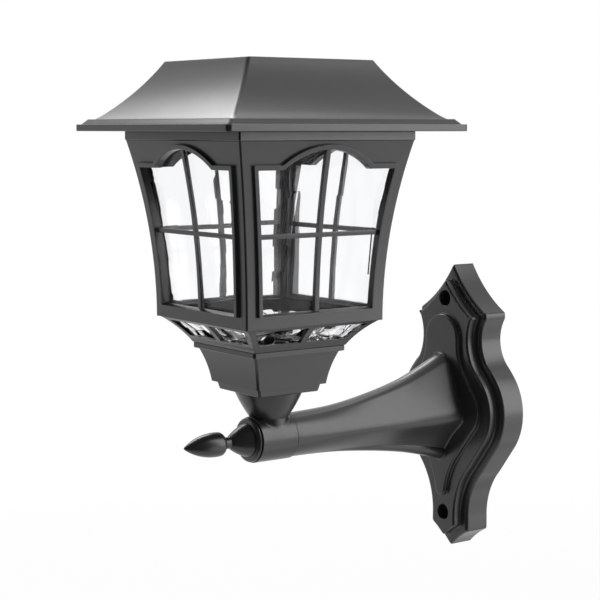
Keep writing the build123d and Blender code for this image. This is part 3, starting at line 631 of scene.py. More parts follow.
class Loft:
    """A surface that is grown ring by ring, every ring with the same number of points."""

    def __init__(self, first: Sequence[Vector]) -> None:
        """Start from the first ring.

        Args:
            first: The ring's points.
        """
        self.bm = bmesh.new()
        made = bmesh.ops.create_circle(self.bm, cap_ends=False, segments=len(first), radius=1.0)
        self.ring = list(made["verts"])
        self._place(first)

    def _place(self, points: Sequence[Vector]) -> None:
        """Put the last ring's points where they belong."""
        for vert, point in zip(self.ring, points, strict=True):
            vert.co = point

    def _edges(self) -> list[bmesh.types.BMEdge]:
        """Edges of the last ring."""
        following = self.ring[1:] + self.ring[:1]
        return [self.bm.edges.get(pair) for pair in zip(self.ring, following)]

    def grow(self, points: Sequence[Vector]) -> None:
        """Grow the surface to the next ring.

        Args:
            points: The ring's points.
        """
        made = bmesh.ops.extrude_edge_only(self.bm, edges=self._edges())
        fresh = {item for item in made["geom"] if isinstance(item, bmesh.types.BMVert)}
        self.ring = [
            next(edge.other_vert(vert) for edge in vert.link_edges if edge.other_vert(vert) in fresh)
            for vert in self.ring
        ]
        self._place(points)

    def cap(self) -> None:
        """Close the last ring with a face."""
        bmesh.ops.contextual_create(self.bm, geom=self._edges())


def lofted(rings: Iterable[Sequence[Vector]], capped: bool = True) -> bmesh.types.BMesh:
    """Surface grown from ring to ring.

    Args:
        rings: The rings, from the first to the last.
        capped: Whether a face closes each end, or else the last ring grows back to the first.

    Returns:
        The closed surface.
    """
    first, *rest = rings
    loft = Loft(first)
    if capped:
        loft.cap()
    for ring in rest:
        loft.grow(ring)
    if capped:
        loft.cap()
    else:
        loft.grow(first)
    return loft.bm


def turned(profile: Sequence[Sequence[float]], steps: int) -> bmesh.types.BMesh:
    """Solid of revolution about the upright axis.

    Args:
        profile: Radius and height of each point.
        steps: Number of stretches round the axis.

    Returns:
        The solid.
    """
    bm = bmesh.new()
    verts = [bm.verts.new((radius, 0.0, height)) for radius, height in profile]
    edges = [bm.edges.new(pair) for pair in zip(verts, verts[1:])]
    bmesh.ops.spin(
        bm, geom=verts + edges, cent=(0, 0, 0), axis=(0, 0, 1), angle=math.tau, steps=steps, use_merge=True
    )
    bmesh.ops.remove_doubles(bm, verts=bm.verts, dist=SAME_SPOT)
    return bm


def shoulder(radius: float, top: float, edge: float, steps: int) -> list[tuple[float, float]]:
    """Rounding of a turning's top edge.

    Args:
        radius: Radius of the turning.
        top: Height of its top.
        edge: Radius of the rounding.
        steps: Number of stretches.

    Returns:
        Radius and height of each point, from the side up to the top.
    """
    turns = [math.radians(90 * step / steps) for step in range(steps + 1)]
    return [(radius - edge + edge * math.cos(turn), top - edge + edge * math.sin(turn)) for turn in turns]


def laid_forward(bm: bmesh.types.BMesh, height: float) -> bmesh.types.BMesh:
    """Lay an upright turning down, with its top to the front.

    Args:
        bm: The turning.
        height: Height of its axis.

    Returns:
        The same turning.
    """
    bmesh.ops.rotate(bm, cent=(0, 0, 0), matrix=Matrix.Rotation(math.radians(90), 3, "X"), verts=bm.verts)
    bmesh.ops.translate(bm, vec=(0, 0, height), verts=bm.verts)
    return bm


def placed(bm: bmesh.types.BMesh, name: str) -> bpy.types.Object:
    """Put a mesh into the scene.

    Args:
        bm: The mesh, which is used up.
        name: Its object's name.

    Returns:
        The object.
    """
    mesh = bpy.data.meshes.new(name)
    bm.to_mesh(mesh)
    bm.free()
    made = bpy.data.objects.new(name, mesh)
    bpy.context.scene.collection.objects.link(made)
    return made


def joined(meshes: Iterable[bmesh.types.BMesh]) -> bmesh.types.BMesh:
    """Join several meshes into one.

    Args:
        meshes: The meshes, which are used up.

    Returns:
        The one mesh.
    """
    whole = bmesh.new()
    for part in meshes:
        carrier = bpy.data.meshes.new("carrier")
        part.to_mesh(carrier)
        part.free()
        whole.from_mesh(carrier)
        bpy.data.meshes.remove(carrier)
    return whole


def carved(body: bmesh.types.BMesh, cutter: bmesh.types.BMesh) -> bmesh.types.BMesh:
    """Take a cutter away from a body.

    Args:
        body: The body, which is used up.
        cutter: What is taken away, which is used up.

    Returns:
        What is left of the body.
    """
    objects = []
    for bm in (body, cutter):
        bmesh.ops.recalc_face_normals(bm, faces=bm.faces)
        # A face of many corners is cut up first, or else the cut leaves creases in it.
        bmesh.ops.triangulate(bm, faces=[face for face in bm.faces if len(face.verts) > 4])
        objects.append(placed(bm, "carving"))
    carving = objects[0].modifiers.new("cut", "BOOLEAN")
    carving.operation = "DIFFERENCE"
    carving.solver = "EXACT"
    carving.use_self = True
    carving.object = objects[1]
    bpy.context.view_layer.update()
    result = bpy.data.meshes.new_from_object(objects[0].evaluated_get(bpy.context.evaluated_depsgraph_get()))
    left = bmesh.new()
    left.from_mesh(result)
    for made in objects:
        bpy.data.meshes.remove(made.data)
    bpy.data.meshes.remove(result)
    return left


def softened_node(node: str, radius: float) -> bmesh.types.BMesh:
    """Copy of a CAD node, in millimetres, with its long sharp edges rounded.

    Args:
        node: Node's name.
        radius: Rounding, in millimetres.

    Returns:
        The copy.
    """
    flat_angle = math.radians(0.6)
    sharp_angle = math.radians(40)
    shortest = 4 * radius
    bm = bmesh.new()
    bm.from_mesh(frame["nodes"][node].data)
    bmesh.ops.scale(bm, vec=(1 / MM,) * 3, verts=bm.verts)
    bmesh.ops.remove_doubles(bm, verts=bm.verts, dist=2 * SAME_SPOT)
    bmesh.ops.dissolve_limit(bm, angle_limit=flat_angle, verts=bm.verts, edges=bm.edges)
    sharp = [
        edge for edge in bm.edges
        if len(edge.link_faces) == 2 and edge.calc_face_angle() > sharp_angle
        and edge.calc_length() > shortest
    ]
    bmesh.ops.bevel(
        bm, geom=sharp, offset=radius, offset_type="OFFSET", segments=2, profile=0.5,
        affect="EDGES", clamp_overlap=True, material=-1,
    )
    return bm


@dataclass
class Maker:
    """Turns finished meshes into dressed pieces."""

    finishes: Finishes
    sharp_angle: float = math.radians(34)
    count: int = 0

    def piece(
        self,
        bm: bmesh.types.BMesh,
        name: str,
        body: Body,
        slot: str,
        nodes: Sequence[str],
        shift: Vector = Vector(),
        copied: bool = False,
        flat: bool = False,
    ) -> None:
        """Put a mesh into the scene as a piece.

        Args:
            bm: Mesh in millimetres, which is used up.
            name: Piece's name.
            body: CAD body that it rides on.
            slot: Record's material slot.
            nodes: CAD nodes that it stands for.
            shift: How far the mesh is moved first, in millimetres.
            copied: Whether the mesh is a CAD node's, whose faces already point outwards.
            flat: Whether its faces are drawn as flat facets.
        """
        if not copied:
            bmesh.ops.remove_doubles(bm, verts=bm.verts, dist=SAME_SPOT)
            bmesh.ops.recalc_face_normals(bm, faces=bm.faces)
        bmesh.ops.translate(bm, vec=shift, verts=bm.verts)
        bmesh.ops.scale(bm, vec=(MM,) * 3, verts=bm.verts)
        for face in bm.faces:
            face.smooth = not flat
        for edge in bm.edges:
            edge.smooth = len(edge.link_faces) == 2 and edge.calc_face_angle() < self.sharp_angle
        made = placed(bm, name)
        made.data.materials.append(self.finishes.of(slot))
        weighted = made.modifiers.new("even_faces", "WEIGHTED_NORMAL")
        weighted.keep_sharp = True
        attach(made, body.value)
        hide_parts(*nodes)
        self.count += 1
        log.info("piece %s on %s, %d faces", name, body.value, len(made.data.polygons))


# Sub-assemblies


@dataclass(frozen=True)
class Lantern:
    """Where the lantern's main parts stand, in millimetres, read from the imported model."""

    axis_y: float
    arm_z: float
    foot_z: float
    rim_top_z: float
    rim_half: float
    body_z: float
    body_top_half: float
    collar_z: float
    collar_half: float
    eave_z: float
    eave_half: float
    top_z: float

    @classmethod
    def measured(cls) -> "Lantern":
        """Read the places from the nodes' boxes.

        Returns:
            The lantern's places.
        """
        roof_low, roof_high = node_box("roof_shell")
        cup_low, cup_high = node_box("base_cup")
        frame_low, frame_high = node_box("front_frame")
        ring_low, ring_high = node_box("top_ring")
        sleeve_low, sleeve_high = node_box("sleeve")
        return cls(
            axis_y=(roof_low.y + roof_high.y) / 2,
            arm_z=(sleeve_low.z + sleeve_high.z) / 2,
            foot_z=cup_low.z,
            rim_top_z=cup_high.z,
            rim_half=cup_high.x,
            body_z=frame_low.z,
            body_top_half=frame_high.x,
            collar_z=ring_low.z,
            collar_half=ring_high.x,
            eave_z=roof_low.z,
            eave_half=roof_high.x,
            top_z=roof_high.z,
        )

    @property
    def axis(self) -> Vector:
        """Shift from the origin to the lantern's axis."""
        return Vector((0, self.axis_y, 0))


@dataclass
class Head:
    """Solar head: the hipped roof, and the panel and the lamp tray that it holds."""

    lantern: Lantern
    wall: float = 2.2
    fascia: float = 3.9
    lip_in: float = 2.6
    ledge_in: float = 4.8
    ledge_rise: float = 6.8
    flank_in: float = 8.5
    top_half: float = 43.2
    flank_sag: float = 2.0
    pocket_half: float = 36.7
    pocket_depth: float = 2.6
    eave_round: float = 2.6
    ridge_round: float = 2.2
    lip_round: float = 0.35
    flank_steps: int = 14

    def _flank(self, inset: float, foot: float, head: float) -> list[Vector]:
        """Hollow curve of the roof's flank, drawn in by a wall.

        Args:
            inset: How far it is drawn in.
            foot: Height of its foot.
            head: Height of its top.

        Returns:
            Half width and height of each point.
        """
        half = self.lantern.eave_half
        return sagged(
            Vector((half - self.flank_in - inset, foot)),
            Vector((self.top_half - inset, head)),
            self.flank_sag, self.flank_steps,
        )

    def shell(self) -> bmesh.types.BMesh:
        """Model the roof: inside from the ceiling down, then outside up to the panel's pocket.

        Returns:
            The roof.
        """
        eave, half, top = self.lantern.eave_z, self.lantern.eave_half, self.lantern.top_z
        ledge = eave + self.ledge_rise
        lip = eave + self.fascia
        edge, wall = self.lip_round, self.wall
        ceiling = top - self.pocket_depth - wall
        inside = self._flank(wall, ledge - wall, ceiling)
        rings = [(*point, self.ridge_round) for point in reversed(inside)]
        rings += [
            (half - self.ledge_in - wall, ledge - wall, self.ridge_round),
            (half - self.lip_in - wall, lip - wall, self.ridge_round),
            (half - wall, lip - wall, self.eave_round),
            (half - wall, eave, self.eave_round),
            (half - edge, eave, self.eave_round - edge),
            (half, eave + edge, self.eave_round),
            (half, lip - edge, self.eave_round),
            (half - edge * 0.3, lip - edge * 0.3, self.eave_round - edge * 0.3),
            (half - edge, lip, self.eave_round - edge),
            (half - self.lip_in + 0.5, lip, self.eave_round - edge),
            (half - self.lip_in + 0.15, lip + 0.12, self.eave_round - edge),
            (half - self.lip_in, lip + 0.4, self.eave_round - edge),
            (half - self.ledge_in, ledge - edge, self.ridge_round),
            (half - self.ledge_in - edge * 0.4, ledge - edge * 0.2, self.ridge_round),
            (half - self.ledge_in - edge, ledge, self.ridge_round),
            (half - self.flank_in + 0.8, ledge, self.ridge_round),
            (half - self.flank_in + 0.25, ledge + 0.12, self.ridge_round),
        ]
        flank = self._flank(0, ledge, top)
        rings += [(*point, self.ridge_round) for point in flank[1:-1]]
        rings += [
            (self.top_half + edge * 0.7, top - edge, self.ridge_round),
            (self.top_half, top - edge * 0.25, self.ridge_round),
            (self.top_half - edge, top, self.ridge_round - edge),
            (self.pocket_half + edge, top, edge * 2),
            (self.pocket_half, top - edge, edge),
            (self.pocket_half, top - self.pocket_depth, edge),
        ]
        return lofted(rounded_square(*ring) for ring in rings)

    def build(self, maker: Maker) -> None:
        """Model and dress the head's hipped roof."""
        maker.piece(
            self.shell(), "hipped_roof", Body.HEAD, "black_plastic", ["roof_shell"], self.lantern.axis
        )


@dataclass(frozen=True)
class Ring:
    """One ring of a window frame's surface.

    Its sizes say where its sides, head and sill stand, and how deep it lies.
    """

    side_in: float
    head_z: float
    apex_z: float
    sill_z: float
    arch_half: float
    depth: float
    sill_depth: float
    corner: float


@dataclass
class GlazedBody:
    """The lantern's glazed body: four mitred window frames with their panes, and the collar above."""

    lantern: Lantern
    low_half: float = 47.2
    frame_wall: float = 6.0
    jamb: float = 9.7
    sill_rise: float = 8.3
    shoulder_drop: float = 15.7
    apex_drop: float = 4.9
    arch_half: float = 29.5
    bead_rise: float = 1.9
    bead_side: float = 2.7
    bead_head: float = 2.6
    post_round: float = 1.0
    rail_rise: float = 50.7
    bar_width: float = 3.4
    rail_width: float = 2.7
    bar_setback: float = 0.1
    bar_depth: float = 2.5
    bar_round: float = 0.45
    bar_back_round: float = 0.1
    bar_overlap: float = 1.0
    pane_setback: float = 2.7
    pane_thickness: float = 1.6
    pane_border: float = 2.0
    facet_size: float = 21.0
    facet_depth: float = 1.6
    facet_jitter: float = 0.25
    facet_tilt: float = 0.12
    facet_reach: float = 0.6
    facing: float = 0.7
    collar_wall: float = 7.0
    collar_edge: float = 0.3
    bore_round: float = 0.6
    side_steps: int = 18
    arch_steps: int = 28
    sill_steps: int = 8
    corner_steps: int = 4

    @property
    def flare_radius(self) -> float:
        """Radius of the body's flare."""
        rise = self.lantern.collar_z - self.lantern.body_z
        flare = self.lantern.body_top_half - self.low_half
        return (rise ** 2 + flare ** 2) / (2 * flare)

    def half_at(self, height: float) -> float:
        """Half width of the body at a height."""
        climb = min(max(height, self.lantern.body_z), self.lantern.collar_z) - self.lantern.body_z
        return self.low_half + self.flare_radius - math.sqrt(self.flare_radius ** 2 - climb ** 2)

    def on_front(self, spot: Vector, depth: float) -> Vector:
        """Point on the front side.

        Args:
            spot: Where across and how high.
            depth: How far behind the body's surface.

        Returns:
            The point, seen from the lantern's axis.
        """
        return Vector((spot.x, depth - self.half_at(spot.y), spot.y))

    def _moulding(self, across: float, depth: float, sill_drop: float, sill_depth: float) -> Ring:
        """Ring of the moulding round the opening.

        Args:
            across: How far from the opening's edge, as measured at a jamb.
            depth: How deep the ring lies at the jambs and the head.
            sill_drop: How far below the opening it runs along the sill.
            sill_depth: How deep it lies along the sill.

        Returns:
            The ring.
        """
        share = across / self.bead_side
        grow = share * self.bead_head
        top = self.lantern.collar_z
        return Ring(
            side_in=self.jamb - across,
            head_z=top - self.shoulder_drop + grow,
            apex_z=top - self.apex_drop + grow,
            sill_z=self.lantern.body_z + self.sill_rise - sill_drop,
            arch_half=self.arch_half + grow / 2,
            depth=depth,
            sill_depth=sill_depth,
            corner=0.9,
        )

    def _edge(self, side_in: float, end_in: float, depth: float) -> Ring:
        """Ring along the frame's own outline."""
        top = self.lantern.collar_z - end_in
        return Ring(side_in, top, top, self.lantern.body_z + end_in, self.arch_half, depth, depth, 0.0)

    def _rebate(self, grow: float, depth: float) -> Ring:
        """Ring of the pane's seat, as far outside the opening all round."""
        top = self.lantern.collar_z
        return Ring(
            self.jamb - grow, top - self.shoulder_drop + grow, top - self.apex_drop + grow,
            self.lantern.body_z + self.sill_rise - grow, self.arch_half + grow / 2, depth, depth, 0.3,
        )

    def rings(self) -> list[Ring]:
        """Rings of a frame, from the back over the front to the pane's seat.

        Returns:
            The rings.
        """
        turn = self.post_round
        slant = math.sin(math.radians(45))
        outer = [
            self._edge(self.frame_wall, 0.0, self.frame_wall),
            self._edge(turn * (1 - slant), 0.0, turn * (1 - slant)),
            self._edge(turn * 0.48, 0.05, turn * 0.165),
            self._edge(turn * 0.72, 0.15, turn * 0.045),
            self._edge(turn, 0.3, 0.0),
        ]
        rise = -self.bead_rise
        profile = [
            (3.0, 0.0, 1.7, 0.0), (2.86, -0.04, 1.56, -0.04), (2.75, -0.14, 1.45, -0.14),
            (2.7, -0.3, 1.4, -0.3), (2.7, rise + 0.25, 1.4, rise + 0.25),
            (2.62, rise + 0.08, 1.36, rise + 0.08), (2.42, rise, 1.26, rise), (0.4, rise, 1.08, rise),
            (0.12, rise + 0.1, 0.96, rise + 0.06), (0.0, rise + 0.35, 0.0, rise + 1.75),
        ]
        moulding = [self._moulding(*spot) for spot in profile]
        seat = [
            self._moulding(0.0, self.pane_setback, 0.0, self.pane_setback),
            self._rebate(self.pane_border + 0.2, self.pane_setback),
            self._rebate(self.pane_border + 0.2, self.frame_wall),
        ]
        return outer + moulding + seat

    def points(self, ring: Ring) -> list[Vector]:
        """Points of a ring, from the sill's left end round to the left side.

        Args:
            ring: The ring.

        Returns:
            The points, seen from the lantern's axis.
        """
        def side(height: float) -> float:
            """Half width of the ring at a height."""
            return self.half_at(height) - ring.side_in

        low = Vector((side(ring.sill_z), ring.sill_z))
        head = Vector((side(ring.head_z), ring.head_z))
        foot = Vector((min(ring.arch_half, head.x - 1.0), ring.head_z))
        steps = self.side_steps
        rise = ring.head_z - ring.sill_z
        flank = [ring.sill_z + rise * step / steps for step in range(1, steps)]
        across = [step / self.sill_steps for step in range(1, self.sill_steps)]
        keystone = max(ring.apex_z - ring.head_z, 0.001)
        arch = arc(foot, Vector((0, ring.head_z + keystone)), Vector((-foot.x, foot.y)), self.arch_steps)

        reach = max(ring.corner, 0.02)
        first = Vector((side(flank[0]), flank[0]))
        last = Vector((side(flank[-1]), flank[-1]))
        low_right = eased(Vector((0, low.y)), low, first, min(reach, 0.3), self.corner_steps)
        high_right = eased(last, head, foot, reach, self.corner_steps)
        right = low_right + [Vector((side(z), z)) for z in flank] + high_right
        sill_row = [Vector((low.x * (2 * share - 1), low.y)) for share in across]
        left = mirrored(right)
        depths = [ring.sill_depth] * len(sill_row)
        depths += self._turning(ring) + [ring.depth] * (len(right) - self.corner_steps - 1)
        depths += [ring.depth] * len(arch)
        depths += [ring.depth] * (len(left) - self.corner_steps - 1) + self._turning(ring)[::-1]
        spots = sill_row + right + arch + left
        return [self.on_front(spot, depth) for spot, depth in zip(spots, depths, strict=True)]

    def _turning(self, ring: Ring) -> list[float]:
        """Depths round a lower corner, from the sill's to the jamb's."""
        last = self.corner_steps
        return [ring.sill_depth + (ring.depth - ring.sill_depth) * step / last for step in range(last + 1)]

    def window_frame(self) -> bmesh.types.BMesh:
        """Model the front frame with its moulding.

        Returns:
            The frame.
        """
        return lofted((self.points(ring) for ring in self.rings()), capped=False)

    def _bar_section(self, half_width: float) -> list[Vector]:
        """Section of a glazing bar, with its front edges rounded.

        Args:
            half_width: Half of the bar's width.

        Returns:
            How far across and how deep each point lies.
        """
        turn = self.bar_round
        front, back = self.bar_setback, self.bar_setback + self.bar_depth
        right = [
            Vector((half_width - self.bar_back_round, back)),
            Vector((half_width, back - self.bar_back_round)),
            Vector((half_width, front + turn)),
            Vector((half_width - turn * 0.3, front + turn * 0.3)),
            Vector((half_width - turn, front)),
        ]
        return right + mirrored(right)

    def upright_bar(self) -> bmesh.types.BMesh:
        """Model the upright glazing bar, which follows the body's flare.

        Returns:
            The bar.
        """
        low = self.lantern.body_z + self.sill_rise - self.bar_overlap
        high = self.lantern.collar_z - self.apex_drop + self.bar_overlap
        section = self._bar_section(self.bar_width / 2)
        heights = [low + (high - low) * step / self.side_steps for step in range(self.side_steps + 1)]
        return lofted(
            [self.on_front(Vector((spot.x, height)), spot.y) for spot in section] for height in heights
        )

    def level_bar(self) -> bmesh.types.BMesh:
        """Model the level glazing bar.

        Returns:
            The bar.
        """
        middle = self.lantern.body_z + self.rail_rise
        reach = self.half_at(middle) - self.jamb + self.bar_overlap
        section = self._bar_section(self.rail_width / 2)
        return lofted(
            [self.on_front(Vector((end, middle + spot.x)), spot.y) for spot in section]
            for end in (-reach, reach)
        )

    def pane(self) -> bmesh.types.BMesh:
        """Model a pane: clear plastic, whose back is drawn in facets that break what stands behind it.

        Returns:
            The pane.
        """
        front, back = self.pane_setback, self.pane_setback + self.pane_thickness
        pane = lofted(self.points(self._rebate(self.pane_border, depth)) for depth in (front, back))
        chance = random.Random(7)
        middle = (self.lantern.body_z + self.lantern.collar_z) / 2
        for across in (True, False):
            for step in range(-2, 3):
                spot = (step + chance.uniform(-self.facet_jitter, self.facet_jitter)) * self.facet_size
                tilt = chance.uniform(-self.facet_tilt, self.facet_tilt)
                place = (spot, 0, middle) if across else (0, 0, middle + spot)
                normal = (1, 0, tilt) if across else (tilt, 0, 1)
                parts = pane.verts[:] + pane.edges[:] + pane.faces[:]
                bmesh.ops.bisect_plane(pane, geom=parts, dist=0.0001, plane_co=place, plane_no=normal)
        for vert in pane.verts:
            level = all(abs(face.normal.y) > self.facing for face in vert.link_faces)
            if level and abs(vert.co.y + self.half_at(vert.co.z) - back) < self.facet_reach:
                vert.co.y += chance.uniform(-self.facet_depth, self.facet_depth) / 2
        bmesh.ops.triangulate(pane, faces=[face for face in pane.faces if face.normal.y > self.facing])
        return pane

    def collar(self) -> bmesh.types.BMesh:
        """Model the collar.

        Returns:
            The collar.
        """
        low, high, half = self.lantern.collar_z, self.lantern.eave_z, self.lantern.collar_half
        bore = half - self.collar_wall
        edge, outer, inner = self.collar_edge, self.post_round, self.bore_round
        rings = [
            (bore, low, inner), (half - edge, low, outer), (half, low + edge, outer),
            (half, high - edge, outer), (half - edge, high, outer), (bore + edge, high, inner),
            (bore, high - edge, inner),
        ]
        return lofted((rounded_square(*ring) for ring in rings), capped=False)

    def build(self, maker: Maker) -> None:
        """Model and dress the four sides and the collar.

        Args:
            maker: Maker of the pieces.
        """
        for side in Side:
            turn = Matrix.Rotation(math.radians(side.value), 4, "Z")
            window = joined([self.window_frame(), self.upright_bar(), self.level_bar()])
            for bm, name, slot, node, flat in (
                (window, "window", "black_plastic", "frame", False),
                (self.pane(), "glazing", "clear_plastic", "pane", True),
            ):
                bmesh.ops.transform(bm, matrix=turn, verts=bm.verts)
                maker.piece(
                    bm, f"{side.label}_{name}", Body.FIXTURE, slot, [f"{side.label}_{node}"],
                    self.lantern.axis, flat=flat,
                )
        maker.piece(
            self.collar(), "eave_collar", Body.FIXTURE, "black_plastic", ["top_ring"], self.lantern.axis
        )


@dataclass
class Base:
    """Under the body: the skirt, the cup and the neck."""

    lantern: Lantern
    foot_half: float = 20.9
    foot_top_half: float = 21.9
    foot_band: float = 4.6
    cove_low_half: float = 24.3
    cove_top_half: float = 29.7
    cove_sag: float = 0.7
    rim_band: float = 3.3
    cup_wall: float = 2.5
    cup_floor: float = 3.0
    bolt_hole: float = 4.06
    corner: float = 1.5
    edge: float = 0.35
    neck_radius: float = 20.0
    neck_waist: float = 11.4
    neck_drop: float = 15.6
    neck_sag: float = 0.4
    neck_edge: float = 0.4
    neck_sunk: float = 0.2
    fillet: tuple[tuple[float, float], ...] = ((0.0, 1.4), (0.15, 0.7), (0.5, 0.3), (1.1, 0.1))
    sleeve_radius: float = 13.5
    skirt_round: float = 0.3
    cove_steps: int = 10
    taper_steps: int = 12
    round_steps: int = 96

    def cup(self) -> bmesh.types.BMesh:
        """Model the cup: inside down to its floor, then outside from the foot up to the rim.

        Returns:
            The cup.
        """
        foot = self.lantern.foot_z
        top = self.lantern.rim_top_z
        rim = top - self.rim_band
        cove = foot + self.foot_band
        floor = foot + self.cup_floor
        rim_half, wall, edge = self.lantern.rim_half, self.cup_wall, self.edge
        cove_curve = sagged(
            Vector((self.cove_low_half, cove)), Vector((self.cove_top_half, rim)), self.cove_sag,
            self.cove_steps,
        )
        profile = [
            (self.foot_half - wall, floor),
            (self.foot_top_half - wall, cove),
            (self.cove_top_half - wall - self.cove_sag, rim),
            (rim_half - wall, rim),
            (rim_half - wall, top),
            (rim_half - edge, top),
            (rim_half, top - edge),
            (rim_half, rim + edge),
            (rim_half - edge, rim),
        ]
        profile += reversed(cove_curve)
        profile += [
            (self.cove_low_half - edge, cove),
            (self.foot_top_half + edge * 0.5, cove),
            (self.foot_top_half, cove - edge),
            (self.foot_half + 0.05, foot + edge),
            (self.foot_half - edge, foot),
        ]
        rings = [rounded_square(half, height, self.corner) for half, height in profile]
        hole_top = round_like(rings[0], self.bolt_hole, floor)
        hole_foot = round_like(rings[-1], self.bolt_hole, foot)
        return lofted([hole_top, *rings, hole_foot], capped=False)

    def neck(self) -> bmesh.types.BMesh:
        """Model the neck, which ends in a small fillet on the round sleeve.

        Returns:
            The neck.
        """
        foot = self.lantern.foot_z
        waist_z = foot - self.neck_drop
        taper = sagged(
            Vector((self.neck_radius, foot - self.neck_edge)), Vector((self.neck_waist, waist_z)),
            self.neck_sag, self.taper_steps,
        )
        fillet = [
            [Vector((spot.x, spot.y, min(spot.z, waist_z - self.neck_sunk))) for spot in ring]
            for ring in (self._seated_ring(self.neck_waist + out, lift) for out, lift in self.fillet)
        ]
        seat = self.fillet[-1][1]
        return lofted([
            self._level_ring(self.bolt_hole, foot),
            self._level_ring(self.neck_radius - self.neck_edge, foot),
            *(self._level_ring(*spot) for spot in taper),
            *fillet,
            self._seated_ring(self.neck_waist, seat),
            self._seated_ring(self.bolt_hole, seat),
        ], capped=False)

    def _level_ring(self, radius: float, height: float) -> list[Vector]:
        """Level ring of the neck."""
        turns = [math.tau * step / self.round_steps for step in range(self.round_steps)]
        return [Vector((radius * math.cos(turn), radius * math.sin(turn), height)) for turn in turns]

    def _seated_ring(self, radius: float, lift: float) -> list[Vector]:
        """Ring of the neck that lies on the sleeve, or stands above it.

        Args:
            radius: Radius of the ring, seen from above.
            lift: How far it stands above the sleeve.

        Returns:
            The ring's points.
        """
        ring = []
        for spot in self._level_ring(radius, 0):
            rise = math.sqrt(max(self.sleeve_radius ** 2 - spot.x ** 2, 0.0))
            ring.append(Vector((spot.x, spot.y, self.lantern.arm_z + lift + rise)))
        return ring

    def build(self, maker: Maker) -> None:
        """Model and dress the parts under the body.

        Args:
            maker: Maker of the pieces.
        """
        for bm, name, node in (
            (self.cup(), "square_cup", "base_cup"),
            (self.neck(), "round_neck", "neck"),
        ):
            maker.piece(bm, name, Body.FIXTURE, "black_plastic", [node], self.lantern.axis)
        maker.piece(
            softened_node("skirt_frame", self.skirt_round), "window_skirt", Body.FIXTURE,
            "black_plastic", ["skirt_frame"], copied=True,
        )


@dataclass(frozen=True)
class Station:
    """Place along the arm: how far along, how much grown and how far turned to a kite."""

    along: float
    grown: float
    kite: float


